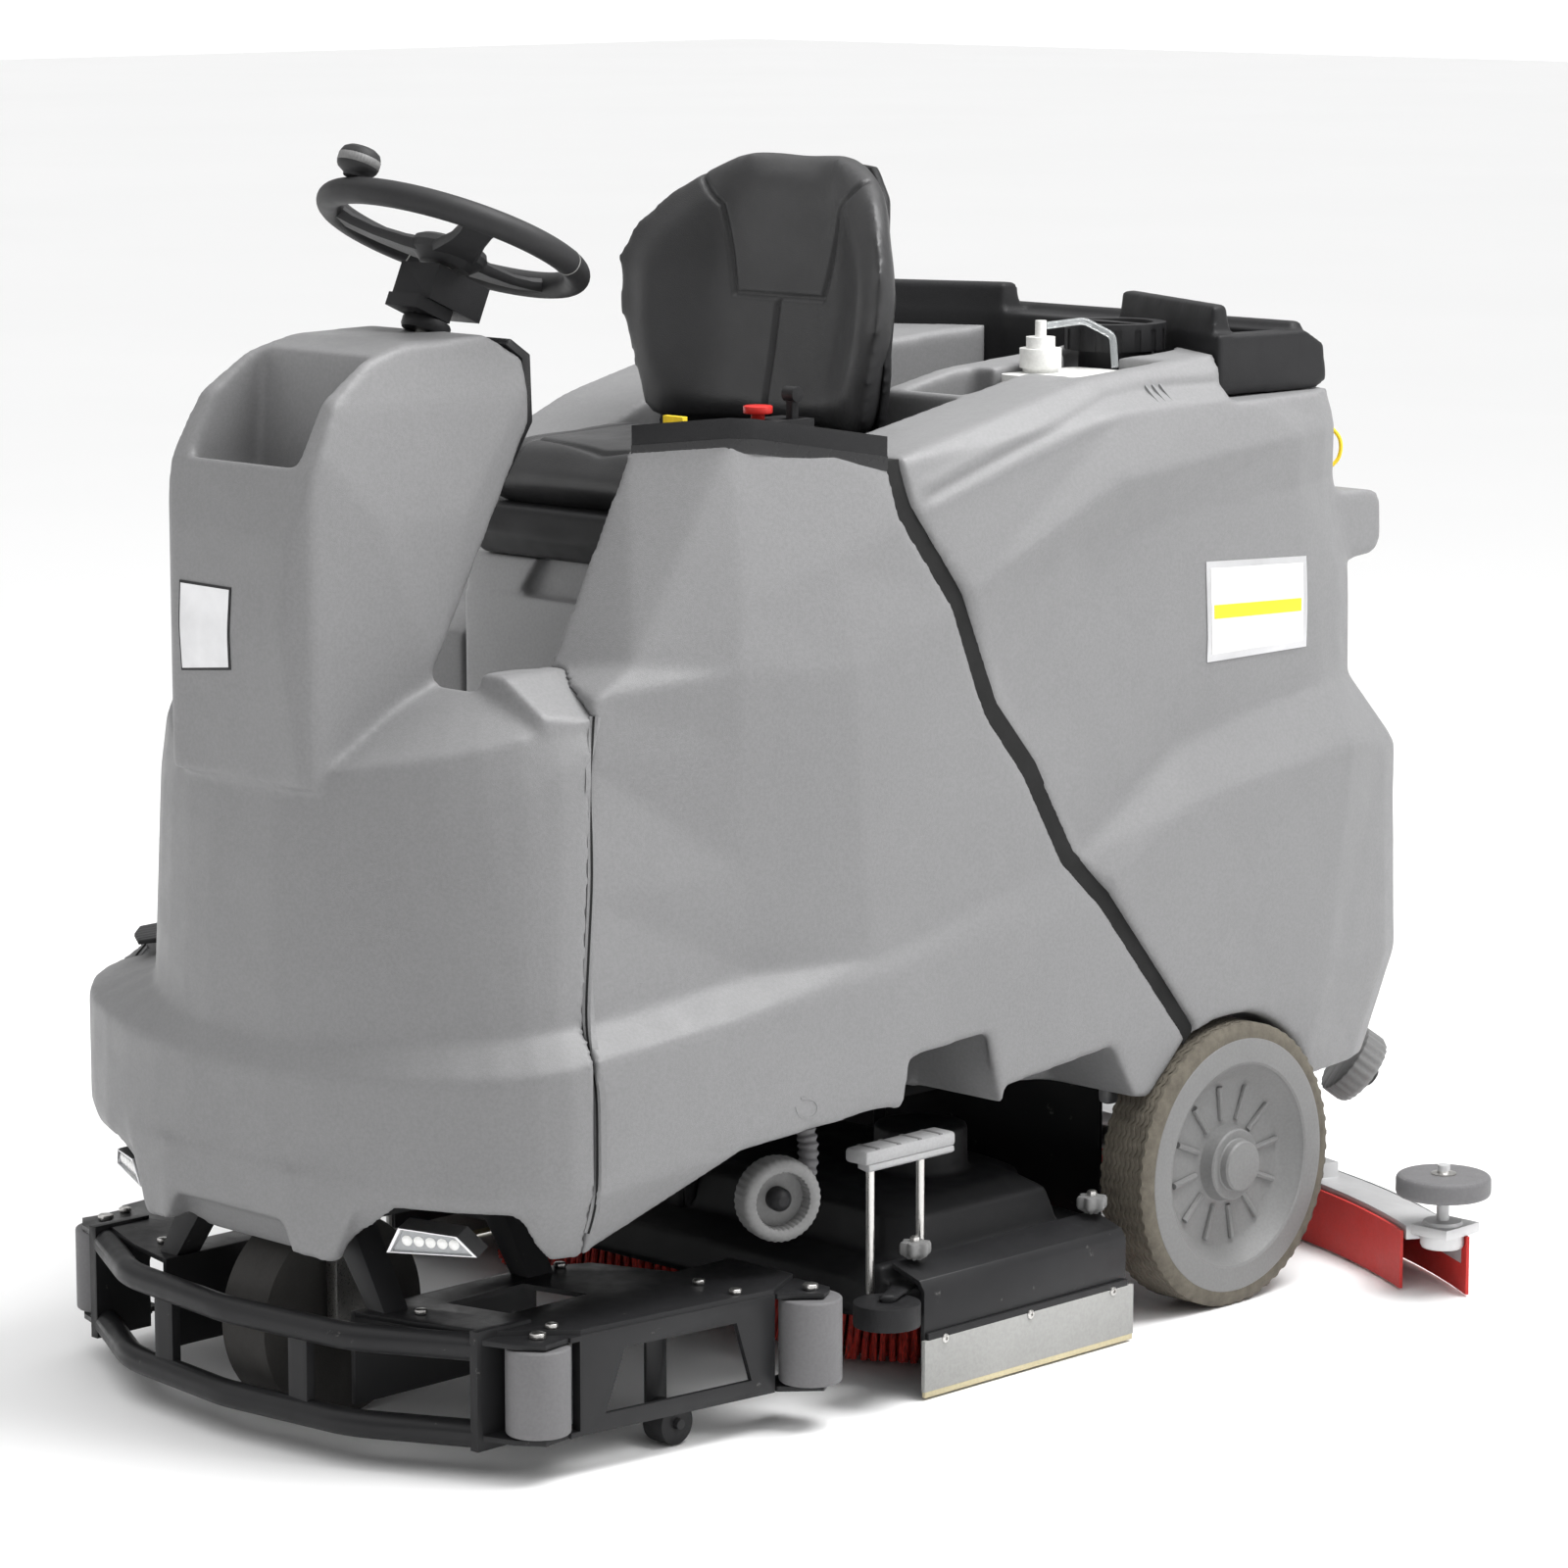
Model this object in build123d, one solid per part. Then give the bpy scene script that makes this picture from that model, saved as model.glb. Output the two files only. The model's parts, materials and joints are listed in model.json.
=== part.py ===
from build123d import *
import math
import os

# Ride-on floor scrubber, millimetres. +Z up, the front faces -Y, the machine's left side is +X.
# The origin is on the floor, under the middle of the whole machine.

os.makedirs("parts", exist_ok=True)

# ---- driving dimensions ----
WHEEL_R, WHEEL_W, WHEEL_X, WHEEL_Y = 180.0, 80.0, 420.0, 408.0   # rear wheels
DRIVE_R, DRIVE_W, DRIVE_Y = 120.0, 76.0, -702.0                  # driven and steered front wheel
STEER_TILT = 24.0                                                # wheel axis, tilted back from upright
STEER_C = (0.0, -480.0, 1355.0)                                  # middle of the steering wheel
STEER_D, STEER_RIM_R = 330.0, 15.5
SHELL_T = 12.0                                                   # wall of the moulded bodies
FLOOR_Z = 505.0                                                  # operator's floor
INNER_X = 234.0                                                  # inner face of the left side wall
RAIL_Z0, RAIL_Z1 = 262.0, 322.0                                  # chassis rails
BRUSH_X, BRUSH_Y, BRUSH_R = 232.0, 70.0, 210.0
SKIRT_X = 475.0                                                  # half width over the deck skirts
SQ_R, SQ_REAR_Y, SQ_HALF = 1180.0, 834.0, 644.0                  # squeegee arc
ROLLER_R, ROLLER_Z0, ROLLER_Z1 = 37.0, 54.0, 154.0               # bumper rollers
FRONT_ROLLER = (385.0, -716.0)
SIDE_ROLLER = (452.0, -350.0)
RUN_GAP = 0.05                                                   # radial clearance of a running fit

MADE = {}


# ---- shape helpers ----
def keep(name, shape):
    MADE[name] = shape


def box(x0, x1, y0, y1, z0, z1):
    return Pos((x0 + x1) / 2, (y0 + y1) / 2, (z0 + z1) / 2) * Box(x1 - x0, y1 - y0, z1 - z0)


def cyl(start, axis, length, radius):
    return Solid.make_cylinder(radius, length, Plane(origin=start, z_dir=axis))


def ring(start, axis, length, outer, inner):
    return cyl(start, axis, length, outer) - cyl(start, axis, length, inner)


def polygon(points):
    return Face(Wire.make_polygon([Vector(*p) for p in points], close=True))


def plate_x(yz, x0, x1):
    return Solid.extrude(polygon([(x0, y, z) for y, z in yz]), Vector(x1 - x0, 0, 0))


def plate_y(xz, y0, y1):
    return Solid.extrude(polygon([(x, y0, z) for x, z in xz]), Vector(0, y1 - y0, 0))


def plate_z(xy, z0, z1):
    return Solid.extrude(polygon([(x, y, z0) for x, y in xy]), Vector(0, 0, z1 - z0))


def mirrored(shape):
    return shape.mirror(Plane.YZ)


def both_sides(shape):
    return shape + mirrored(shape)


def distance(a, b):
    return (Vector(*a) - Vector(*b)).length


def skin(rings):
    """A closed solid through rings of points, each with the same number of points."""
    count = len(rings[0])
    faces = []
    for low, high in zip(rings, rings[1:]):
        for i in range(count):
            j = (i + 1) % count
            a, b, c, d = low[i], low[j], high[j], high[i]
            if distance(a, c) > distance(b, d) + 0.001:         # fold along the shorter diagonal
                a, b, c, d = b, c, d, a
            faces.append(polygon([a, b, c]))
            faces.append(polygon([a, c, d]))
    for end in (rings[0], rings[-1]):
        for i in range(count // 2 - 1):
            a, b, c, d = end[i], end[i + 1], end[-i - 2], end[-i - 1]
            faces.append(polygon([a, b, c]))
            faces.append(polygon([a, c, d]))
    solid = Solid(Shell(faces))
    return solid if solid.volume > 0 else Solid(Shell([-f for f in faces]))


def rim_chamfer(shape, size):
    """Chamfer the outer circles of a round part."""
    circles = shape.edges().filter_by(GeomType.CIRCLE)
    return chamfer(circles.group_by(SortBy.RADIUS)[-1], size)


def smooth_tube(points, bend, radius):
    """A round bar along straight runs joined by arcs."""
    path = FilletPolyline(*points, radius=bend)
    start = Plane(origin=path @ 0, z_dir=path % 0)
    return sweep(start * Circle(radius), path=path)


# ---- moulded bodies ----
COWL_STEPS = 8


def arc_half(half_width, depth, seam_y, z_front, z_seam, side):
    """Half of a bowed front outline, from beside the middle to the side seam."""
    points = []
    for step in range(COWL_STEPS + 1):
        angle = math.radians(10 + 80 * step / COWL_STEPS)
        blend = step / COWL_STEPS
        points.append((side * half_width * math.sin(angle), seam_y - depth * math.cos(angle),
                       z_front + (z_seam - z_front) * blend))
    return points


def bowed_level(left, right, z_front, z_seam=None):
    """One level of the front body: left and right are (half width, depth, seam Y)."""
    z_seam = z_front if z_seam is None else z_seam
    return (arc_half(*left, z_front, z_seam, 1)
            + list(reversed(arc_half(*right, z_front, z_seam, -1))))


def inset(level):
    """Shrink a level of the front body towards the middle of its seam by the wall thickness."""
    half = max(p[0] for p in level)
    depth = COWL_BACK - min(p[1] for p in level)
    return [(x * (1 - SHELL_T / half), COWL_BACK + (y - COWL_BACK) * (1 - SHELL_T / depth), z - SHELL_T)
            for x, y, z in level]


LOWER = (420, 185, -658)
DRUM_LEFT_LOW, DRUM_LEFT_HIGH = (380, 187, -638), (344, 234, -588)
DRUM_RIGHT_LOW, DRUM_RIGHT_HIGH = (318, 226, -600), (312, 228, -588)
COWL_BACK = -588.0
SILL_Z = 886.0
LEG_Y = -640.0                                   # rear face of the drum, in front of the driver's legs
COLUMN_REAR = [(-646, 700), (-646, 880), (-468, 1150), (-470, 1222), (-520, 1252)]


def column():
    """Steering column with the open bin in its nose."""
    side = plate_x(COLUMN_REAR + [(-640, 1250), (-705, 1234), (-765, 1192), (-806, 1116), (-826, 1040),
                                  (-830, 930), (-820, 800), (-812, 700)], -190, 190)
    front = plate_y([(-152, 700), (-148, 860), (-138, 1050), (-120, 1180), (-100, 1258),
                     (100, 1258), (120, 1180), (138, 1050), (148, 860), (152, 700)], -900, -400)
    plan = plate_z([(-92, -832), (92, -832), (124, -808), (148, -646), (110, -430),
                    (-110, -430), (-148, -646), (-124, -808)], 690, 1262)
    return side & front & plan


def bin_pocket(grow=0.0):
    """The bin's inside; grow adds its wall."""
    def level(half, front, back, z):
        return [(-half - grow, front - grow, z), (half + grow, front - grow, z),
                (half + grow, back + grow, z), (-half - grow, back + grow, z)]
    return skin([level(60, -785, -722, 960 - grow), level(92, -796, -700, 1112),
                 level(94, -900, -684, 1320)])


def steering_axis_point(z):
    """Point on the tilted steering axis at height z."""
    return (0, STEER_C[1] - (STEER_C[2] - z) * math.tan(math.radians(STEER_TILT)), z)


STEER_AXIS = (0, math.sin(math.radians(STEER_TILT)), math.cos(math.radians(STEER_TILT)))


def cowl_levels():
    return [bowed_level((382, 160, -645), (382, 160, -645), 222, 243),
            bowed_level(LOWER, LOWER, 303, 333),
            bowed_level(LOWER, LOWER, 436, 471),
            bowed_level(DRUM_LEFT_LOW, DRUM_RIGHT_LOW, 474, 506),
            bowed_level(DRUM_LEFT_HIGH, DRUM_RIGHT_HIGH, 672, 800),
            bowed_level((324, 224, COWL_BACK), (302, 220, COWL_BACK), 768, 842),
            bowed_level((232, 150, COWL_BACK), (232, 150, COWL_BACK), 812, SILL_Z)]


def sill():
    """Left sill between the drum and the console, up to the driver's leg space."""
    block = plate_z([(190, LEG_Y), (318, LEG_Y), (331, -588), (331, -520), (INNER_X, -548),
                     (212, -590)], 640, SILL_Z)
    return block & plate_y([(140, 640), (332, 640), (332, 836), (250, SILL_Z), (140, SILL_Z)], -700, -500)


def chin():
    """The middle of the lower front steps down, with a wide notch."""
    front = plate_y([(-208, 330), (208, 330), (200, 300), (165, 228), (112, 232), (95, 266),
                     (-95, 266), (-112, 232), (-165, 228), (-200, 300)], -843, -790)
    plan = plate_z([(-210, -820), (-110, -843), (110, -843), (210, -820), (210, -800), (150, -812),
                    (-150, -812), (-210, -800)], 200, 340)
    return front & plan


def cowl_envelope():
    return skin(cowl_levels()) + sill()


def front_cowl():
    levels = cowl_levels()
    core = skin([inset(level) for level in levels])
    bottom_opening = box(-366, 366, -800, -560, 200, 300)
    legs = plate_z([(212, LEG_Y), (212, -590), (INNER_X, -548), (INNER_X, -200), (-520, -200),
                    (-520, LEG_Y)], FLOOR_Z, 1400)
    drum = skin(levels) + sill() + chin() - core - bottom_opening - legs
    nose = column() - box(-200, 200, -900, -400, 690, 760)
    body = drum + (nose - (core & box(-520, 520, -900, -500, 600, 840)))
    inside = skin([[(-108, -786, 745), (108, -786, 745), (108, -660, 745), (-108, -660, 745)],
                   [(-104, -800, 940), (104, -800, 940), (104, -622, 940), (-104, -622, 940)],
                   [(-84, -720, 1225), (84, -720, 1225), (84, -486, 1225), (-84, -486, 1225)]])
    body = body - (inside - bin_pocket(SHELL_T)) - bin_pocket()
    body = body - cyl(steering_axis_point(900), STEER_AXIS, 420, 14)
    # wall behind the drum and the operator's floor, moulded in one piece with the cowl
    wall = plate_y([(-300, 330), (320, 330), (320, 700), (212, 800), (-212, 800), (-300, 700)],
                   LEG_Y - SHELL_T, LEG_Y)
    floor = box(-230, 230, LEG_Y, -264, FLOOR_Z - 26, FLOOR_Z)
    body = body + wall + floor - both_sides(lamp_block(True))
    return body - (tank_side() & box(-520, 520, -900, 0, 200, 1400))


def lamp_block(socket=False):
    """Headlamp body set in the lower corner of the cowl; its socket reaches out past the wall."""
    face = [(236, -790, 276), (302, -760, 272), (321, -746, 249), (218, -792, 245)]
    if socket:
        face = [(x + 6 * dx, y - 14, z + dz) for (x, y, z), dx, dz in
                zip(face, (-0.1, 0.1, 0.1, -0.1), (0.3, 0.3, -0.3, -0.3))]
    back = [(x - 14, y + 44, z) for x, y, z in face]
    return skin([face, back])


# the slanting split between the front panels and the tank, in Y and Z, from the bottom up
SPLIT = [(250, 230), (250, 278), (326, 352), (162, 544), (110, 597), (39, 715), (-27, 793), (-83, 931),
         (-150, 1036), (-152, 1300)]
SPLIT_GAP = (17, 11)


def tank_side(shift=(0, 0)):
    """Everything behind the split."""
    line = [(y + shift[0], z + shift[1]) for y, z in SPLIT]
    return plate_x(line + [(1200, 1311), (1200, 230)], -600, 600)


def panel_station(outside, inside):
    """One station of the side panel: up the outside, then down the inner face at the same share
    of its height. The inner face is given as (Y, Z) at its bottom, middle and top."""
    (y0, z0), (y1, z1), (y2, z2) = inside
    low, high = outside[0][2], outside[-1][2]
    inner = []
    for _, _, z in outside:
        z_in = z0 + (z2 - z0) * (z - low) / (high - low)
        if z_in < z1:
            y = y0 + (y1 - y0) * (z_in - z0) / (z1 - z0)
        else:
            y = y1 + (y2 - y1) * (z_in - z1) / (z2 - z1)
        inner.append((INNER_X, y, z_in))
    return outside + inner[::-1]


def side_panel_rings():
    """Stations of the left side panel from the front seam to the slanting rear edge."""
    seam = [(382, -645, 243), (420, -656, 320), (420, -656, 471), (381, -637, 504), (358, -612, 640),
            (336, -587, 786), (331, -572, 860), (332, -515, 892), (331, -358, 1132)]
    channel_front = [(430, -440, 335), (433, -432, 360), (430, -416, 490), (395, -391, 531),
                     (394, -399, 650), (393, -400, 789), (392, -402, 880), (378, -385, 955),
                     (348, -300, 1126)]
    channel_rear = [(440, -225, 350), (443, -215, 380), (440, -180, 512), (427, -219, 530),
                    (427, -236, 650), (427, -244, 780), (423, -246, 868), (398, -255, 990),
                    (368, -228, 1114)]
    gap = [(441, 272, 286), (443, 346, 352), (443, 182, 544), (431, 130, 597), (430, 59, 715),
           (428, -7, 793), (425, -63, 931), (407, -130, 1036), (385, -131, 1098)]
    return [panel_station(seam, [(-600, 243), (-560, 870), (-425, 1122)]),
            panel_station(channel_front, [(-430, 335), (-400, 800), (-350, 1118)]),
            panel_station(channel_rear, [(-225, 350), (-240, 800), (-240, 1110)]),
            panel_station(gap, [(272, 286), (0, 800), (-131, 1096)])]


def panel_blank(core_top):
    blank = skin(side_panel_rings())
    handle_bay = plate_x([(-189, 300), (-170, 404), (-37, 414), (-5, 300)], 300, 460)
    handle_bay_inner = box(INNER_X - 1, 431, -250, -20, 240, 414)
    rear_step = plate_x([(-5, 300), (-5, 343), (190, 362), (236, 286), (236, 240), (-5, 240)], 300, 460)
    core = box(INNER_X + SHELL_T, 340, -560, -170, 360, core_top)
    core_rear = box(INNER_X + SHELL_T, 405, -165, 20, 440, 700)
    controls_bay = plate_z([(244, -404), (320, -354), (345, -300), (362, -240), (362, -170),
                            (244, -170)], 1110, 1200)
    return (blank - handle_bay - handle_bay_inner - rear_step - core - core_rear - controls_bay
            - tank_side() - cowl_envelope())


def side_panels(cowl):
    left = panel_blank(780) - cowl
    keep("left_side_panel", left)
    right = mirrored(panel_blank(FLOOR_Z - SHELL_T)) - cowl
    entry = plate_x([(-900, FLOOR_Z), (-262, FLOOR_Z), (-262, 850), (-215, 880), (-60, 1062),
                     (60, 1200), (60, 1400), (-900, 1400)], -520, -INNER_X + 5)
    right = right - entry
    keep("right_side_panel", right - floor_mat())


def tank_levels():
    """Half outlines of the tank, front edge to rear middle, from the bottom up."""
    def level(front, kink, flank, rear_y, z_rear, half_rear):
        corner = 60.0
        return [front, kink, flank,
                (half_rear, rear_y - corner, z_rear),
                (half_rear - 0.293 * corner, rear_y - 0.293 * corner, z_rear),
                (half_rear - corner, rear_y, z_rear)]
    return [
        level((440, 200, 262), (440, 330, 262), (436, 560, 262), 745, 262, 415),
        level((445, 300, 352), (448, 400, 400), (445, 600, 400), 796, 400, 428),
        level((445, 160, 560), (450, 315, 643), (446, 640, 690), 788, 670, 426),
        level((431, 110, 590), (420, 329, 714), (416, 620, 768), 722, 764, 408),
        level((426, -12, 795), (418, 227, 981), (415, 560, 1030), 716, 905, 405),
        level((426, -84, 930), (432, 210, 1055), (412, 560, 1082), 700, 1004, 398),
        level((409, -168, 1036), (408, 220, 1128), (402, 480, 1134), 690, 1100, 392),
        level((387, -168, 1096), (360, 217, 1169), (356, 488, 1187), 680, 1190, 372)]


LID_EDGE = [(368, 456), (100, 572), (-100, 572), (-368, 456)]      # front edge of the lid, in plan


def lid_plan(back_off, z0, z1):
    """The lid's outline in plan, its front edge moved back by back_off."""
    front = [(x, y + back_off) for x, y in LID_EDGE]
    return plate_z([(368, 900)] + front + [(-368, 900)], z0, z1)


def tank_body():
    rings = []
    for half in tank_levels():
        rings.append(half + [(-x, y, z) for x, y, z in reversed(half)])
    body = skin(rings)
    ledge = plate_x([(640, 900), (758, 914), (772, 930), (772, 982), (762, 994), (640, 1002)], -385, 385)
    body = body + ledge
    seat_space = box(-248, 248, -400, 114, 330, 1400)
    battery_space = box(-240, 240, -400, 330, 200, 880)
    chassis_channel = box(-345, 345, -400, 900, 200, 330)
    behind_seat = box(-118, 118, 60, 577, 1040, 1400)
    lid_space = plate_z([(520, 900), (520, 390)] + LID_EDGE + [(-520, 390), (-520, 900)], 1130, 1400)
    wheel_wells = both_sides(cyl((366, WHEEL_Y, WHEEL_R), (1, 0, 0), 140, WHEEL_R + 9))
    under_wheels = both_sides(box(345, 520, 180, WHEEL_Y + WHEEL_R + 9, 100, WHEEL_R))
    cup_recess = box(150, 250, 128, 246, 1075, 1400)
    canister_bay = box(186, 330, 236, 396, 1066, 1400)
    cap_recess = cyl((205, 450, 1150), (0, 0, 1), 200, 74)
    filler_bore = cyl((205, 450, 960), (0, 0, 1), 300, 48)
    recovery_tank = box(-310, 310, 606, 660, 720, 1200)
    clean_water = box(-350, 350, 346, 590, 450, 940)
    side_tanks = both_sides(box(262, 400, 150, 330, 600, 1000))
    rear_tank = box(-380, 380, 606, 740, 400, 690)
    right_front = plate_x([(-300, 850), (-215, 880), (-60, 1062), (60, 1112), (230, 1164),
                           (330, 1182), (330, 1400), (-300, 1400)], -520, -248)
    body = body & tank_side(SPLIT_GAP)
    for cut in (seat_space, battery_space, chassis_channel, behind_seat, lid_space, wheel_wells,
                under_wheels, cup_recess, canister_bay, cap_recess, filler_bore, recovery_tank,
                clean_water, side_tanks, rear_tank, right_front):
        body = body - cut
    keep("tank_body", body)


LID_PIN_Y, LID_PIN_Z = 676.0, 1141.0


def tank_lid():
    """Black recovery-tank lid with a dished top, hinged at its rear edge."""
    side = plate_x([(440, 1209), (450, 1133), (655, 1131), (676, 1141), (668, 1187), (634, 1205)],
                   -366, 366)
    lid = side & lid_plan(3, 1120, 1260)
    lid = lid - (plate_z([(-400, 400), (400, 400), (400, 470), (100, 600), (-100, 600), (-400, 470)],
                         1170, 1300) & plate_x([(380, 1300), (440, 1215), (560, 1300)], -400, 400))
    bar = skin([[(350, 468, 1200), (98, 576, 1200), (98, 620, 1200), (350, 506, 1200)],
                [(346, 474, 1244), (104, 580, 1244), (104, 606, 1244), (346, 498, 1244)]])
    rear_rim = plate_x([(616, 1200), (624, 1216), (640, 1216), (650, 1200)], -350, 350)
    dish = plate_z([(326, 524), (326, 612), (130, 612)], 1172, 1300)
    knuckle = cyl((210, LID_PIN_Y, LID_PIN_Z), (1, 0, 0), 60, 9)
    keep("tank_lid", lid + both_sides(bar) + rear_rim - both_sides(dish) + both_sides(knuckle))
    keep("service_cover", box(-116, 116, 116, 570, 1042, 1064))


# ---- tank fittings ----
CAP_C = (205.0, 450.0)
CAP_Z0, CAP_Z1 = 1184.0, 1218.0


def fittings():
    cap = cyl((*CAP_C, CAP_Z0), (0, 0, 1), CAP_Z1 - CAP_Z0, 64)
    for turn in range(16):
        spot = Pos(*CAP_C, CAP_Z0 + 13) * Rot(0, 0, turn * 22.5) * Pos(65, 0, 0)
        cap = cap - spot * Box(5, 9, 27)
    cap = cap - cyl((*CAP_C, CAP_Z1 - 5), (0, 0, 1), 6, 48) + cyl((*CAP_C, 1100), (0, 0, 1), 84, 46)
    grip = box(CAP_C[0] - 44, CAP_C[0] + 44, CAP_C[1] - 7, CAP_C[1] + 7, CAP_Z1 - 6, CAP_Z1 - 0.5)
    keep("filler_cap", cap + grip)

    bottle = box(192, 322, 242, 390, 1068, 1164)
    bottle = fillet(bottle.edges().filter_by(Axis.Z), 18)
    neck = cyl((214, 300, 1164), (0, 0, 1), 6, 22)
    pump = cyl((214, 300, 1170), (0, 0, 1), 24, 26) + cyl((214, 300, 1194), (0, 0, 1), 14, 18)
    spout = cyl((214, 300, 1208), (0, 0, 1), 20, 7)
    keep("detergent_canister", bottle + neck + pump + spout)
    hose = smooth_tube([(214, 308, 1221), (222, 372, 1224), (252, 392, 1206), (262, 385, 1168)],
                       14, 4.5)
    keep("dosing_tube", hose)

    stub = cyl((250, 738, 1002), (0, 0, 1), 64, 24) + cyl((250, 738, 1066), (0, 0, 1), 8, 27)
    keep("drain_hose", stub)
    drain = cyl((324, 778, 243), (0.5, 0.62, -0.6), 56, 50) - MADE["tank_body"]
    filter_axis = (0.93, -0.36, 0)
    filter_c = (378, -338, 258)
    filter_ring = ring(filter_c, filter_axis, 34, 50, 34) + cyl(filter_c, filter_axis, 12, 36)
    keep("service_caps", filter_ring + drain)
    keep("filter_hose", smooth_tube([(372, -320, 262), (372, -284, 262), (372, -270, 290),
                                     (372, -270, 334)], 16, 13))
    keep("suction_hose", ring((0, 688, 276), (0, 0, 1), 54, 27, 22))


# ---- seat ----
SEAT_Z = 954.0
# backrest: height, half width, Y of the side edges and Y of the middle, all on the front face
BACKREST = [(1096, 192, -10, 36), (1170, 218, -16, 52), (1270, 236, -22, 70), (1340, 216, -14, 77),
            (1400, 168, 34, 84), (1440, 118, 62, 92)]
PAD_T, BACK_SHELL_T = 40.0, 16.0


def backrest_level(z, half, y_edge, y_mid, thick):
    """One level of a curved back: its front outline, then its rear outline."""
    inner = half * 0.55
    return [(-half, y_edge, z), (-inner, y_mid, z), (inner, y_mid, z), (half, y_edge, z),
            (half, y_edge + thick, z), (inner, y_mid + thick, z), (-inner, y_mid + thick, z),
            (-half, y_edge + thick, z)]


def seat():
    keep("seat_cushion", skin([
        [(-190, -262, 1022), (190, -262, 1022), (190, -20, 1022), (-190, -20, 1022)],
        [(-206, -288, 1052), (206, -288, 1052), (210, -12, 1052), (-210, -12, 1052)],
        [(-194, -262, 1086), (194, -262, 1086), (204, -16, 1094), (-204, -16, 1094)]]))
    keep("backrest_cushion", skin([backrest_level(*row, PAD_T) for row in BACKREST]))
    # moulded pan and back shell in one piece
    pan = skin([[(-196, -262, SEAT_Z), (196, -262, SEAT_Z), (196, 40, SEAT_Z), (-196, 40, SEAT_Z)],
                [(-212, -285, 985), (212, -285, 985), (214, 84, 985), (-214, 84, 985)],
                [(-208, -286, 1019), (208, -286, 1019), (214, 84, 1019), (-214, 84, 1019)]])
    back = [(1000, 206, 10, 60)] + [(z, half, y_edge + PAD_T + 2, y_mid + PAD_T + 2)
                                    for z, half, y_edge, y_mid in BACKREST]
    shell = skin([backrest_level(*row, BACK_SHELL_T) for row in back])
    keep("seat_shell", pan + shell)
    hood = box(-230, 230, -262, 112, RAIL_Z1, 905) - box(-225, 225, -257, 107, RAIL_Z1, 898)
    leg = plate_y([(-292 + 62, 953), (-101, 953), (-165, 868), (-218, 868), (-230, 900)], -258, -60)
    top = box(-150, 150, -240, 60, 905, 953)
    rails = box(-180, -160, -230, 60, 905, 953.6) + box(160, 180, -230, 60, 905, 953.6)
    keep("seat_pedestal", hood + both_sides(leg) + top + rails)
    keep("battery_pack", box(-220, 220, -252, 102, RAIL_Z1, 690))


# ---- steering ----
def steering():
    frame = Plane(origin=STEER_C, x_dir=(1, 0, 0), z_dir=STEER_AXIS)
    rim_r = STEER_D / 2 - STEER_RIM_R
    rim = Solid.make_torus(rim_r, STEER_RIM_R, frame)
    hub = Solid.make_cylinder(34, 26, Plane(origin=frame.from_local_coords((0, 0, -34)), z_dir=STEER_AXIS))
    wheel = rim + hub
    for turn in (90, 210, 330):
        spoke = Rot(0, 0, turn) * Pos(rim_r / 2 + 8, 0, -14) * Box(rim_r - 8, 36, 9)
        wheel = wheel + frame.location * spoke
    keep("steering_wheel", wheel)
    # grip knob at the front of the rim
    knob_turn = math.radians(-10)
    foot = frame.from_local_coords((rim_r * math.sin(knob_turn), -rim_r * math.cos(knob_turn),
                                    STEER_RIM_R + 0.4))
    stem = Plane(origin=foot, z_dir=STEER_AXIS)
    knob_profile = Polyline((0, 0), (13, 0), (13, 4), (22, 9), (25, 13), (25, 27), (20, 35), (0, 37),
                            close=True)
    knob = revolve(Plane.XZ * make_face(knob_profile), Axis.Z)
    keep("steering_knob", stem.location * knob)
    shaft = Solid.make_cylinder(10, 96, Plane(origin=frame.from_local_coords((0, 0, -130)),
                                              z_dir=STEER_AXIS))
    lower = Solid.make_cylinder(10, 330, Plane(origin=frame.from_local_coords((0, 0, -460)),
                                               z_dir=STEER_AXIS))
    keep("steering_shaft", shaft + lower)
    head = frame.location * (Pos(0, 6, -64) * Box(66, 84, 42))
    head = head + frame.location * (Pos(0, -18, -92) * Box(54, 56, 16))
    bore = Solid.make_cylinder(10.4, 200, Plane(origin=frame.from_local_coords((0, 0, -180)),
                                                z_dir=STEER_AXIS))
    keep("column_head", head - bore)
    rear = [(y, z) for y, z in COLUMN_REAR[1:4]]
    face = plate_x(rear + [(-496, 1240), (-488, 1246), (-458, 1226), (-455, 1148), (-634, 876)], -106, 106)
    keep("instrument_panel", face)


# ---- hand and foot controls ----
def floor_mat():
    """Ribbed mat over the floor and the right-hand step, cut out round the pedal."""
    mat = plate_z([(206, LEG_Y + 4), (-322, LEG_Y + 4), (-334, -698), (-374, -672), (-404, -640),
                   (-410, -560), (-425, -268), (222, -268), (222, -560)], FLOOR_Z + 1, FLOOR_Z + 7)
    return mat - box(-126, -30, -640, -540, 500, 540)


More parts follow.
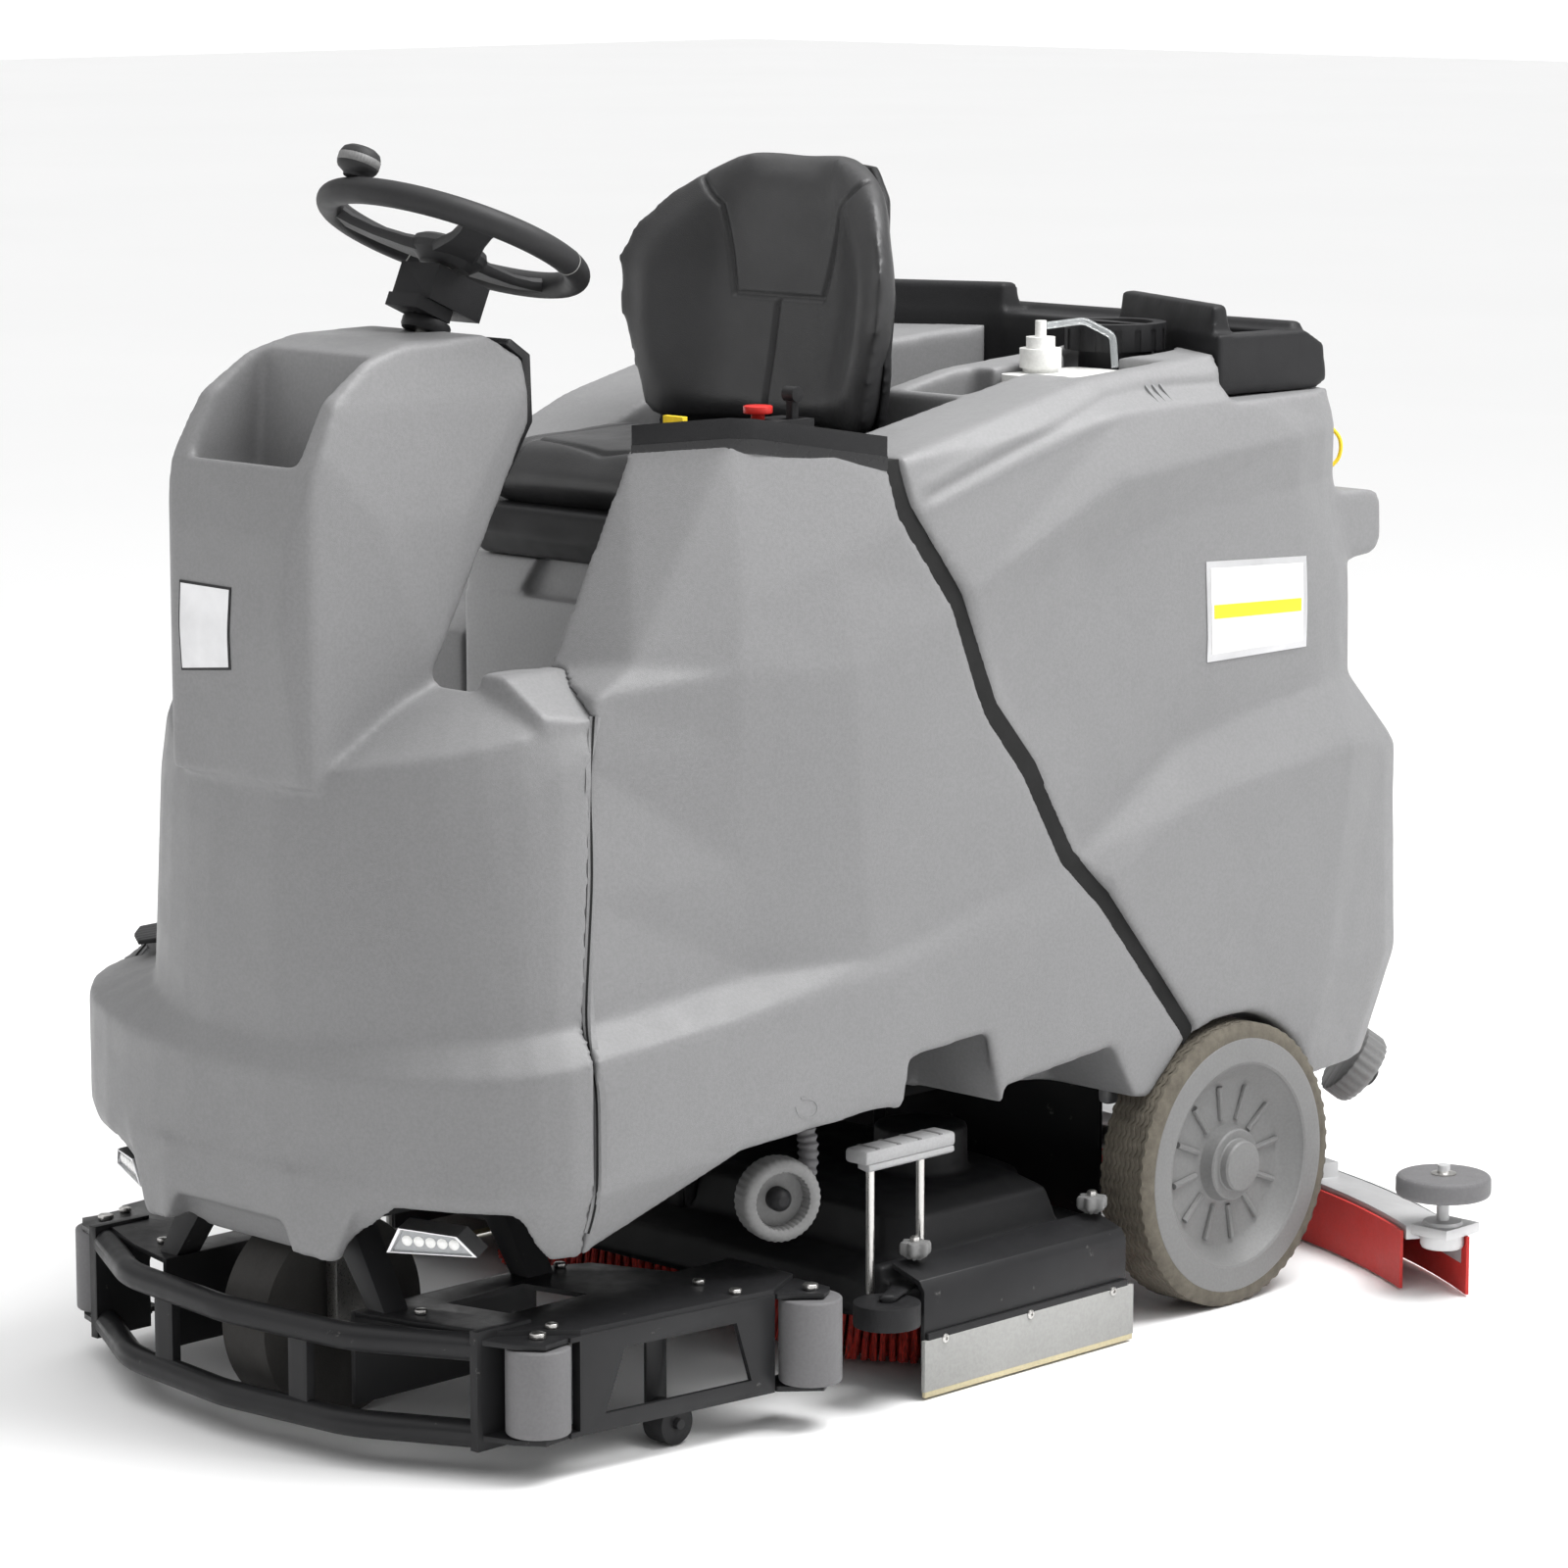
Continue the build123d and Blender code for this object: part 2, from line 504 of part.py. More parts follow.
def controls():
    low = [(238, -424, 1123), (331, -360, 1133.4), (345, -330, 1131), (386, -156, 1101.4),
           (240, -156, 1101.4), (238, -300, 1116.5)]
    low = [(x, y, z + 3) for x, y, z in low]
    high = [(x, y, z + 25) for x, y, z in low]
    tray = skin([low, high])
    key_c, stop_c, lever_c, rocker_c = (262, -378), (300, -282), (318, -244), (350, -190)
    key_z, stop_z = 1150.0, 1146.0
    hump = box(284, 336, -300, -226, 1138, 1152)
    tray = tray + hump
    tray = tray - cyl((*key_c, key_z - 12), (0, 0, 1), 60, 24)
    tray = tray - cyl((*key_c, key_z - 34), (0, 0, 1), 40, 7 + RUN_GAP)
    tray = tray - cyl((*stop_c, stop_z - 20), (0, 0, 1), 60, 8 + RUN_GAP)
    for (x, y), half_x, half_y, z0 in ((lever_c, 6.3, 16, 1122), (rocker_c, 8.3, 12.3, 1110)):
        tray = tray - box(x - half_x, x + half_x, y - half_y, y + half_y, z0, 1300)
    keep("control_tray", tray)
    key = (cyl((*key_c, key_z - 30), (0, 0, 1), 24, 7)
           + box(key_c[0] - 16, key_c[0] + 16, key_c[1] - 4, key_c[1] + 4, key_z - 8, key_z + 10))
    keep("key_switch", key + cyl((*key_c, key_z - 10), (0, 0, 1), 8, 15))
    keep("stop_button", cyl((*stop_c, stop_z - 14), (0, 0, 1), 30, 8)
         + cyl((*stop_c, stop_z + 13), (0, 0, 1), 9, 17))
    lever = box(lever_c[0] - 5, lever_c[0] + 5, lever_c[1] - 5, lever_c[1] + 5, 1132, 1176)
    lever_pin = cyl((lever_c[0] - 5, lever_c[1], 1137), (1, 0, 0), 10, 6.5)
    keep("drive_lever", lever + lever_pin + cyl((lever_c[0] - 9, lever_c[1], 1180), (1, 0, 0), 18, 9))
    rocker = plate_x([(-11, 1126), (11, 1126), (11, 1137), (0, 1133), (-11, 1129)],
                     rocker_c[0] - 8, rocker_c[0] + 8)
    rocker_pin = cyl((rocker_c[0] - 8, rocker_c[1], 1124), (1, 0, 0), 16, 4)
    keep("rocker_switch", Pos(0, rocker_c[1], -4) * rocker + rocker_pin)
    pedal = plate_x([(-632, 560), (-626, 564), (-552, 524), (-556, 518)], -118, -38)
    keep("accelerator_pedal", pedal + cyl((-118, -556, 521), (1, 0, 0), 80, 6))
    keep("floor_mat", floor_mat())
    keep("headlamps", both_sides(lamp_block()))


# ---- chassis, wheels and drive ----
POST_Y = (-100, 240)                             # guide posts that the deck rises on
ARM_PIN_Y, ARM_PIN_Z = 480.0, 240.0              # pin that the squeegee arm lifts about


def chassis():
    frame = both_sides(box(95, 145, -790, 742, RAIL_Z0, RAIL_Z1))
    for y0, y1 in ((-790, -560), (-260, -210), (-120, -80), (220, 260), (380, 436), (690, 742)):
        frame = frame + box(-145, 145, y0, y1, RAIL_Z1 - 22, RAIL_Z1)
    frame = frame + box(-340, 340, 380, 436, RAIL_Z0, RAIL_Z1)
    frame = frame + both_sides(box(300, 332, 370, 446, 140, RAIL_Z0))
    frame = frame - cyl((-350, WHEEL_Y, WHEEL_R), (1, 0, 0), 700, 15 + RUN_GAP)
    frame = frame - cyl((0, DRIVE_Y, 200), (0, 0, 1), 200, 40 + RUN_GAP)
    frame = frame - box(-40, 40, 640, 742, RAIL_Z1 - 23, RAIL_Z1 + 1)
    for y in POST_Y:
        frame = frame + cyl((0, y, 120), (0, 0, 1), 190, 8)
    splash_guard = box(-300, 300, 326, 332, 90, RAIL_Z0 + 8)
    lugs = both_sides(box(44, 56, 430, 502, 222, 300))
    pin = cyl((-56, ARM_PIN_Y, ARM_PIN_Z), (1, 0, 0), 112, 8)
    keep("chassis_frame", frame + splash_guard + lugs + pin)

    axle = cyl((-452, WHEEL_Y, WHEEL_R), (1, 0, 0), 904, 15)
    keep("rear_axle", axle)
    x0, x1 = WHEEL_X - WHEEL_W / 2, WHEEL_X + WHEEL_W / 2
    centre = (x0, WHEEL_Y, WHEEL_R)
    tyre = ring(centre, (1, 0, 0), WHEEL_W, WHEEL_R, 147)
    tyre = rim_chamfer(tyre, 5)
    rim_face = Face(Wire.make_polygon([Vector(x, r, 0) for x, r in
                                       [(0, 30), (34, 34), (34, 126), (4, 136), (4, 147), (80, 147),
                                        (80, 140), (74, 136), (56, 128), (52, 46), (70, 42), (78, 42),
                                        (78, 36), (88, 36), (90, 33), (90, 0), (76, 0),
                                        (76, 15 + RUN_GAP), (0, 15 + RUN_GAP)]], close=True))
    rim = revolve(rim_face, Axis.X)
    rim = Pos(*centre) * rim
    keep("rear_tyre_left", tyre)
    keep("rear_tyre_right", mirrored(tyre))
    keep("rear_rim_left", rim)
    keep("rear_rim_right", mirrored(rim))

    post = cyl((0, DRIVE_Y, 272), (0, 0, 1), 128, 40)
    yoke = box(-62, 62, DRIVE_Y - 40, DRIVE_Y + 40, 262, 276)
    yoke = yoke + box(44, 62, DRIVE_Y - 30, DRIVE_Y + 30, 100, 270)
    yoke = yoke + box(-62, -44, DRIVE_Y - 30, DRIVE_Y + 30, 100, 270)
    motor = cyl((0, DRIVE_Y, 400), (0, 0, 1), 150, 50) + cyl((0, DRIVE_Y, 550), (0, 0, 1), 20, 20)
    spindle = cyl((-62, DRIVE_Y, DRIVE_R), (1, 0, 0), 124, 14)
    keep("drive_unit", post + yoke + motor + spindle)
    wheel = cyl((-DRIVE_W / 2, DRIVE_Y, DRIVE_R), (1, 0, 0), DRIVE_W, DRIVE_R)
    wheel = wheel - cyl((-DRIVE_W, DRIVE_Y, DRIVE_R), (1, 0, 0), 2 * DRIVE_W, 14 + RUN_GAP)
    keep("drive_wheel", wheel)


# ---- bumper ----
def bumper():
    bow = [(-338, -754), (-196, -829), (0, -850), (196, -829), (338, -754)]
    frame = None
    for z in (50, 150):
        bar = smooth_tube([(x, y, z) for x, y in bow], 150, 16)
        frame = bar if frame is None else frame + bar
    for x in (-120, 120):
        frame = frame + box(x - 16, x + 16, -842, -830, 40, 160)
    half = box(334, 346, -772, -690, 34, 172)
    fx, fy = FRONT_ROLLER
    sx, sy = SIDE_ROLLER
    for z0 in (ROLLER_Z0 - 8, ROLLER_Z1 + 2):
        half = half + plate_z([(344, -765), (fx, -752), (fx + 28, -730), (fx + 22, -688), (344, -680)],
                              z0, z0 + 6)
        half = half + plate_z([(404, -400), (440, -392), (sx + 24, -352), (sx + 8, -326), (404, -326)],
                              z0, z0 + 6)
    for x, y in (FRONT_ROLLER, SIDE_ROLLER):
        half = half + cyl((x, y, ROLLER_Z0 - 8), (0, 0, 1), ROLLER_Z1 - ROLLER_Z0 + 16, 8)
    side = plate_z([(405, -668), (411, -670), (440, -396), (434, -392)], 46, 162)
    window = plate_x([(-640, 66), (-430, 66), (-452, 138), (-612, 138)], 380, 460)
    half = half + (side - window)
    half = half + box(350, 411, -690, -662, 46, 52) + box(350, 411, -690, -662, 156, 162)
    half = half + box(398, 411, -676, -662, 46, 162)
    top = plate_z([(165, -800), (250, -780), (344, -744), (408, -672), (438, -396), (404, -330),
                   (300, -330), (300, -420), (200, -460), (165, -520)], 162, 168)
    slot = plate_z([(215, -700), (300, -680), (300, -560), (215, -580)], 150, 180)
    half = half + (top - slot)
    half = half + plate_y([(100, 262), (145, 262), (200, 168), (170, 168)], -560, -520)
    half = half + box(165, 171, -800, -520, 60, 168)
    half = half + plate_y([(100, 262), (145, 262), (200, 168), (170, 168)], -780, -745)
    fork_x = 388
    half = half + box(fork_x - 24, fork_x - 20, -532, -500, 14, 163)
    half = half + cyl((fork_x - 24, -516, 26), (1, 0, 0), 44, 6)
    keep("bumper_frame", frame + both_sides(half))
    roller = ring((fx, fy, ROLLER_Z0), (0, 0, 1), ROLLER_Z1 - ROLLER_Z0, ROLLER_R, 8 + RUN_GAP)
    side_roller = ring((sx, sy, ROLLER_Z0), (0, 0, 1), ROLLER_Z1 - ROLLER_Z0, ROLLER_R, 8 + RUN_GAP)
    keep("bumper_roller_front_left", roller)
    keep("bumper_roller_front_right", mirrored(roller))
    keep("bumper_roller_side_left", side_roller)
    keep("bumper_roller_side_right", mirrored(side_roller))
    bolts = None
    for x, y in (FRONT_ROLLER, SIDE_ROLLER):
        bolt = Pos(x, y, ROLLER_Z1 + 8) * extrude(RegularPolygon(10, 6), 7)
        bolts = bolt if bolts is None else bolts + bolt
    for x, y in ((230, -752), (380, -690), (360, -440), (420, -440), (190, -500)):
        bolts = bolts + Pos(x, y, 168) * extrude(RegularPolygon(8, 6), 6)
    keep("bumper_bolts", both_sides(bolts))
    wheel = ring((fork_x - 18, -516, 26), (1, 0, 0), 32, 25, 6 + RUN_GAP)
    keep("caster_wheel_left", wheel)
    keep("caster_wheel_right", mirrored(wheel))


# ---- brush deck ----
HANDLE_RODS = (-196, -110)


def deck_skirts():
    """Side splash skirts: a folded bracket with a rubber blade."""
    plate = plate_y([(SKIRT_X - 8, 40), (SKIRT_X - 8, 128), (SKIRT_X - 14, 136), (420, 150),
                     (420, 156), (SKIRT_X - 10, 142), (SKIRT_X - 2, 130), (SKIRT_X - 2, 40)], -180, 180)
    blade = box(SKIRT_X - 2, SKIRT_X + 4, -185, 188, 3, 78)
    return both_sides(plate + blade)


def deck():
    half = [(60, -172), (330, -176), (410, -190), (452, -150), (454, 176), (384, 214), (350, 262),
            (60, 292)]

    def level(shrink, z):
        pts = [(x - shrink if x > 60 else x, BRUSH_Y + (y - BRUSH_Y) * (1 - shrink / 236), z)
               for x, y in half]
        return pts + [(-x, y, z) for x, y, z in reversed(pts)]
    cover = skin([level(0, 84), level(6, 122), level(62, 140), level(78, 184), level(112, 198)])
    cover = cover - plate_z([(x, y) for x, y, _ in level(16, 0)], 80, 116)
    for side in (-1, 1):
        cover = cover + cyl((side * BRUSH_X, BRUSH_Y, 190), (0, 0, 1), 64, 58)
        cover = cover - cyl((side * BRUSH_X, BRUSH_Y, 60), (0, 0, 1), 90, 20)
    for y in POST_Y:
        cover = cover - cyl((0, y, 50), (0, 0, 1), 200, 8 + 0.3)
    arm = plate_z([(392, -140), (440, -150), (468, -222), (450, -238), (442, -222)], 125, 131)
    cover = cover + both_sides(arm + cyl((455, -225, 88), (0, 0, 1), 46, 7))
    cover = cover + both_sides(box(390, 410, -208, -100, 100, 150) & skin([level(2, 90), level(2, 200)]))
    for y in HANDLE_RODS:
        cover = cover - both_sides(cyl((400, y, 110), (0, 0, 1), 120, 5 + RUN_GAP))
    keep("deck_cover", cover - deck_skirts())
    for name, side in (("left", 1), ("right", -1)):
        plate = cyl((side * BRUSH_X, BRUSH_Y, 56), (0, 0, 1), 22, BRUSH_R - 14)
        bristles = ring((side * BRUSH_X, BRUSH_Y, 4), (0, 0, 1), 52, BRUSH_R, 90)
        hub = cyl((side * BRUSH_X, BRUSH_Y, 78), (0, 0, 1), 40, 19.9)
        keep("brush_" + name, plate + bristles + hub)
        keep("deflector_roller_" + name,
             ring((side * 455, -225, 96), (0, 0, 1), 28, 40, 7 + RUN_GAP))
    keep("deck_skirts", deck_skirts())
    knobs = None
    for y in (-150, 165):
        knob = cyl((430, y, 157), (0, 0, 1), 22, 12)
        for turn in range(6):
            knob = knob + Pos(430, y, 171) * Rot(0, 0, turn * 60) * Pos(12, 0, 0) * Cylinder(7, 14)
        knobs = knob if knobs is None else knobs + knob
    keep("star_knobs", both_sides(knobs))
    grip = box(384, 424, -229, -69, 272, 298)
    grip = chamfer(grip.edges().filter_by(Axis.Y), 6)
    for y in HANDLE_RODS:
        grip = grip + cyl((400, y, 118), (0, 0, 1), 160, 5)
    keep("deck_handle", grip)


# ---- squeegee ----
def arc_bar(radius, width, half_x, z0, z1):
    """A bar bent along the squeegee's arc."""
    c = SQ_REAR_Y - SQ_R
    turn = math.degrees(math.asin(half_x / SQ_R))
    bar = ring((0, c, z0), (0, 0, 1), z1 - z0, radius, radius - width)
    reach = 3000.0
    t = math.radians(turn)
    wedge = plate_z([(0, c), (reach * math.sin(t), c + reach * math.cos(t)),
                     (-reach * math.sin(t), c + reach * math.cos(t))], z0 - 1, z1 + 1)
    return bar & wedge


def squeegee():
    beam = arc_bar(SQ_R - 8, 58, 600, 66, 84)
    ends = both_sides(box(584, 640, 600, 668, 79, 92) + cyl((610, 631, 84), (0, 0, 1), 84, 8))
    v_top = both_sides(plate_z([(30, 760), (160, 770), (330, 736), (340, 758), (150, 812), (30, 826)],
                               84, 104))
    socket = cyl((0, 790, 84), (0, 0, 1), 40, 34)
    bore = cyl((0, 790, 60), (0, 0, 1), 80, 12 + RUN_GAP)
    keep("squeegee_beam", beam + ends + v_top + socket + box(-40, 40, 760, 822, 84, 100) - bore)
    keep("squeegee_blades", arc_bar(SQ_R, 4, SQ_HALF, 3, 78) + arc_bar(SQ_R - 70, 4, 600, 3, 78))
    for name, side in (("left", 1), ("right", -1)):
        disc = ring((side * 610, 631, 128), (0, 0, 1), 28, 60, 8 + RUN_GAP)
        keep("squeegee_roller_" + name, rim_chamfer(disc, 4))
    arm = plate_x([(464, 262), (500, 262), (700, 236), (812, 150), (812, 126), (764, 126), (690, 200),
                   (500, 216), (464, 218)], -28, 28)
    arm = arm - cyl((-60, ARM_PIN_Y, ARM_PIN_Z), (1, 0, 0), 120, 8 + RUN_GAP)
    arm = arm + cyl((0, 790, 62), (0, 0, 1), 70, 12) + cyl((0, 790, 56), (0, 0, 1), 8, 20)
    keep("squeegee_arm", arm)


keep("front_cowl", front_cowl())
side_panels(MADE["front_cowl"])
tank_body()
tank_lid()
fittings()
seat()
steering()
controls()
chassis()
bumper()
deck()
squeegee()

for node, shape in MADE.items():
    export_step(shape, "parts/" + node + ".step")
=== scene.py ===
import json
import math
import random

import bmesh
import bpy
import numpy as np
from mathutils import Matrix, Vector
from mathutils.bvhtree import BVHTree

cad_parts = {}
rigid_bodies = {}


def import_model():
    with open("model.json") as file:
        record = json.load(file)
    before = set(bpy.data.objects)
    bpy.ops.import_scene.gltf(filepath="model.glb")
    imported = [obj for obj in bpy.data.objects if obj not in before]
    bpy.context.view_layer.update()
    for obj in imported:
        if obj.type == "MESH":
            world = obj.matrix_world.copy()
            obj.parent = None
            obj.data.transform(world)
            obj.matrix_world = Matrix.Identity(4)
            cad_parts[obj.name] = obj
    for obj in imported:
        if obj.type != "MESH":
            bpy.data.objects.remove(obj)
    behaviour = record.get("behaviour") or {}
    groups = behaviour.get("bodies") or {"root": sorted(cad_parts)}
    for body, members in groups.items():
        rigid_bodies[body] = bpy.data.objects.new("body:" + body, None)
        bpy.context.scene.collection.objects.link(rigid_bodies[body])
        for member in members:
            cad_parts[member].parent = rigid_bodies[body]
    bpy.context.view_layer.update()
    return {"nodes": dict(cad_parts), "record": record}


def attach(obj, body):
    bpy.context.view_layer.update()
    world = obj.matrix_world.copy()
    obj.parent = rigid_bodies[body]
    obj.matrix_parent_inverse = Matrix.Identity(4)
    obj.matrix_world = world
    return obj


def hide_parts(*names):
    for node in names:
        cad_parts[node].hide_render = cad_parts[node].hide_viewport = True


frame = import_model()

NODES = frame["nodes"]
SLOT_OF = {part["node"]: part["material_slot"] for part in frame["record"]["subparts"]}
BODY_OF = {node: body for body, nodes in frame["record"]["behaviour"]["bodies"].items()
           for node in nodes}
MM = 0.001
UP = (0, 0, 1)
SIDES = (("left", 1), ("right", -1))


# ---- materials
class Nodes:
    """A node material in the making: colour, roughness and bump in object coordinates."""

    def __init__(self, name, metallic=0.0, specular=0.5, coat=0.0, transmission=0.0):
        self.mat = bpy.data.materials.new(name)
        self.mat.use_nodes = True
        self.tree = self.mat.node_tree
        self.shader = self.tree.nodes["Principled BSDF"]
        for socket, value in (("Metallic", metallic), ("Specular IOR Level", specular),
                              ("Coat Weight", coat), ("Coat Roughness", 0.25),
                              ("Transmission Weight", transmission), ("IOR", 1.46)):
            self.shader.inputs[socket].default_value = value
        self.coord = self.tree.nodes.new("ShaderNodeTexCoord").outputs["Object"]

    def node(self, kind, **inputs):
        made = self.tree.nodes.new(kind)
        for socket, value in inputs.items():
            made.inputs[socket].default_value = value
        return made

    def link(self, a, b):
        self.tree.links.new(a, b)

    def stretched(self, scale):
        """Object coordinates scaled by a triple, for streaks."""
        mapping = self.node("ShaderNodeMapping", Scale=scale)
        self.link(self.coord, mapping.inputs["Vector"])
        return mapping.outputs["Vector"]

    def noise(self, scale, detail=3.0, roughness=0.55, vector=None):
        made = self.node("ShaderNodeTexNoise", Scale=scale, Detail=detail, Roughness=roughness)
        self.link(vector or self.coord, made.inputs["Vector"])
        return made.outputs["Fac"]

    def cells(self, scale):
        made = self.node("ShaderNodeTexVoronoi", Scale=scale)
        self.link(self.coord, made.inputs["Vector"])
        return made.outputs["Distance"]

    def bands(self, scale):
        """Bands that follow one another along X."""
        made = self.node("ShaderNodeTexWave", Scale=scale)
        self.link(self.coord, made.inputs["Vector"])
        return made.outputs["Fac"]

    def ramp(self, source, stops):
        made = self.node("ShaderNodeValToRGB")
        band = made.color_ramp
        while len(band.elements) < len(stops):
            band.elements.new(0.5)
        for element, (place, colour) in zip(band.elements, stops):
            element.position = place
            element.color = (*colour, 1)
        self.link(source, made.inputs["Fac"])
        return made.outputs["Color"]

    def spread(self, source, low, high, first=0.3, last=0.7):
        """Map the source's first to last onto low to high."""
        made = self.node("ShaderNodeMapRange")
        for name, value in zip(("From Min", "From Max", "To Min", "To Max"), (first, last, low, high)):
            made.inputs[name].default_value = value
        self.link(source, made.inputs["Value"])
        return made.outputs["Result"]

    def mix(self, factor, a, b):
        """Blend two colours; the colour sockets of the node are numbered 6 and 7, its result 2."""
        made = self.node("ShaderNodeMix")
        made.data_type = "RGBA"
        if isinstance(factor, float):
            made.inputs[0].default_value = factor
        else:
            self.link(factor, made.inputs[0])
        for socket, value in ((made.inputs[6], a), (made.inputs[7], b)):
            if isinstance(value, tuple):
                socket.default_value = (*value, 1)
            else:
                self.link(value, socket)
        return made.outputs[2]

    def colour(self, source):
        self.link(source, self.shader.inputs["Base Color"])

    def rough(self, source):
        self.link(source, self.shader.inputs["Roughness"])

    def bump(self, *layers):
        """Stack bumps: each layer is (height socket, strength, distance in metres)."""
        normal = None
        for height, strength, distance in layers:
            made = self.node("ShaderNodeBump", Strength=strength, Distance=distance)
            self.link(height, made.inputs["Height"])
            if normal is not None:
                self.link(normal, made.inputs["Normal"])
            normal = made.outputs["Normal"]
        self.link(normal, self.shader.inputs["Normal"])


def scaled(colour, k):
    return tuple(min(1.0, c * k) for c in colour)


def moulded(name, colour, rough, grain, depth, patches, **shader):
    """Moulded plastic: soft patches of tone and a fine grain of a given depth."""
    m = Nodes(name, **shader)
    broad = m.noise(3.5, 4.0)
    fine = m.noise(260.0, 2.0)
    base = m.ramp(broad, [(0.3, scaled(colour, 1 - patches)), (0.7, scaled(colour, 1 + patches))])
    speck = m.ramp(fine, [(0.35, scaled(colour, 0.86)), (0.65, scaled(colour, 1.14))])
    m.colour(m.mix(0.35, base, speck))
    m.rough(m.spread(m.noise(30.0, 5.0), *rough))
    m.bump((m.cells(grain), depth, 0.0006), (m.noise(11.0, 2.0), 0.12, 0.004))
    return m.mat


def rubber(name, colour, rough, grain, patches=0.18):
    """Rubber: like a moulding, but duller."""
    return moulded(name, colour, rough, grain, 0.22, patches, specular=0.35)


def ribbed_mat(name, colour):
    """Rubber matting with narrow ribs from front to back."""
    m = Nodes(name, specular=0.35)
    dust = m.noise(18.0, 6.0, 0.7)
    m.colour(m.ramp(dust, [(0.35, scaled(colour, 0.8)), (0.75, scaled(colour, 1.8))]))
    m.rough(m.spread(dust, 0.62, 0.8))
    m.bump((m.bands(26.0), 0.9, 0.003), (m.cells(900.0), 0.2, 0.0006))
    return m.mat


def coated_metal(name, colour, rough, chips):
    """Powder-coated steel with fine texture and a few rubbed spots."""
    m = Nodes(name, specular=0.25)
    base = m.ramp(m.noise(5.0, 5.0), [(0.3, scaled(colour, 0.85)), (0.7, scaled(colour, 1.25))])
    spots = m.noise(60.0, 6.0, 0.7)
    m.colour(m.mix(m.spread(spots, 0.0, chips, 0.66, 0.74), base, (0.3, 0.29, 0.28)))
    m.rough(m.spread(m.noise(45.0, 4.0), *rough))
    m.bump((m.noise(1400.0, 2.0), 0.25, 0.0004), (m.noise(25.0, 3.0), 0.08, 0.002))
    return m.mat


def metal(name, colour, rough):
    """Bright metal, finely grained."""
    m = Nodes(name, metallic=1.0)
    m.colour(m.ramp(m.noise(9.0, 5.0), [(0.3, scaled(colour, 0.82)), (0.7, scaled(colour, 1.1))]))
    brushed = m.noise(700.0, 3.0, 0.6)
    m.rough(m.spread(brushed, *rough))
    m.bump((brushed, 0.18, 0.0004))
    return m.mat


def painted_casting(name, colour):
    """Silver painted casting, slightly pebbled."""
    m = Nodes(name, metallic=0.55)
    m.colour(m.ramp(m.noise(7.0, 6.0), [(0.3, scaled(colour, 0.84)), (0.7, scaled(colour, 1.06))]))
    m.rough(m.spread(m.noise(80.0, 4.0), 0.38, 0.52))
    m.bump((m.noise(650.0, 3.0), 0.35, 0.0006), (m.noise(40.0, 2.0), 0.1, 0.002))
    return m.mat


def leatherette(name, colour):
    """Grained vinyl: small cells with soft creases."""
    m = Nodes(name, coat=0.12)
    m.colour(m.ramp(m.noise(6.0, 4.0), [(0.3, scaled(colour, 0.8)), (0.7, scaled(colour, 1.35))]))
    m.rough(m.spread(m.noise(22.0, 5.0), 0.36, 0.5))
    m.bump((m.cells(900.0), 0.5, 0.0005), (m.noise(120.0, 4.0), 0.2, 0.0012),
           (m.noise(16.0, 4.0), 0.25, 0.004))
    return m.mat


def clear(name, colour):
    """See-through plastic."""
    m = Nodes(name, specular=0.6, transmission=0.6)
    m.colour(m.ramp(m.noise(40.0), [(0.3, scaled(colour, 0.9)), (0.7, scaled(colour, 1.05))]))
    m.rough(m.spread(m.noise(60.0), 0.12, 0.22))
    m.shader.inputs["Alpha"].default_value = 0.45
    m.bump((m.noise(90.0), 0.1, 0.0005))
    return m.mat


def bristle(name, colour):
    """Nylon bristle, streaked along its length."""
    m = Nodes(name, specular=0.4)
    strands = m.noise(420.0, 3.0, 0.6, m.stretched((1.0, 1.0, 0.05)))
    m.colour(m.ramp(strands, [(0.35, scaled(colour, 0.35)), (0.65, scaled(colour, 1.4))]))
    m.rough(m.spread(strands, 0.45, 0.7))
    m.bump((strands, 0.8, 0.002))
    return m.mat


def tread(name, light, dark):
    """Tyre rubber, dusty and worn in patches."""
    m = Nodes(name, specular=0.3)
    worn = m.noise(55.0, 6.0, 0.7)
    m.colour(m.ramp(worn, [(0.3, dark), (0.7, light)]))
    m.rough(m.spread(worn, 0.7, 0.88))
    m.bump((m.noise(500.0, 4.0), 0.5, 0.0008), (worn, 0.3, 0.0015))
    return m.mat


MATS = {}


def look(slot, maker, *values, **shader):
    MATS[slot] = maker(slot, *values, **shader)


look("body_grey", moulded, (0.205, 0.205, 0.208), (0.40, 0.52), 1100.0, 0.34, 0.05)
look("bracket_grey", moulded, (0.36, 0.36, 0.365), (0.45, 0.6), 1500.0, 0.2, 0.08)
look("black_plastic", moulded, (0.017, 0.017, 0.018), (0.36, 0.5), 1300.0, 0.4, 0.2, specular=0.22)
look("black_panel", moulded, (0.016, 0.016, 0.017), (0.22, 0.34), 1500.0, 0.12, 0.2)
look("leatherette", leatherette, (0.026, 0.026, 0.027))
look("frame_black", coated_metal, (0.016, 0.016, 0.017), (0.3, 0.42), 0.35)
look("wheel_grip", rubber, (0.024, 0.024, 0.025), (0.5, 0.62), 1600.0)
look("tread", tread, (0.15, 0.135, 0.108), (0.085, 0.075, 0.06))
look("rim_grey", moulded, (0.175, 0.175, 0.174), (0.42, 0.56), 1400.0, 0.2, 0.10)
look("roller_grey", rubber, (0.15, 0.148, 0.152), (0.5, 0.62), 1500.0, 0.08)
look("drive_tread", rubber, (0.04, 0.038, 0.036), (0.7, 0.85), 600.0)
look("bristle_red", bristle, (0.5, 0.03, 0.02))
look("blade_red", rubber, (0.55, 0.035, 0.03), (0.42, 0.55), 1200.0, 0.12)
look("skirt_grey", rubber, (0.33, 0.33, 0.32), (0.5, 0.66), 1200.0, 0.10)
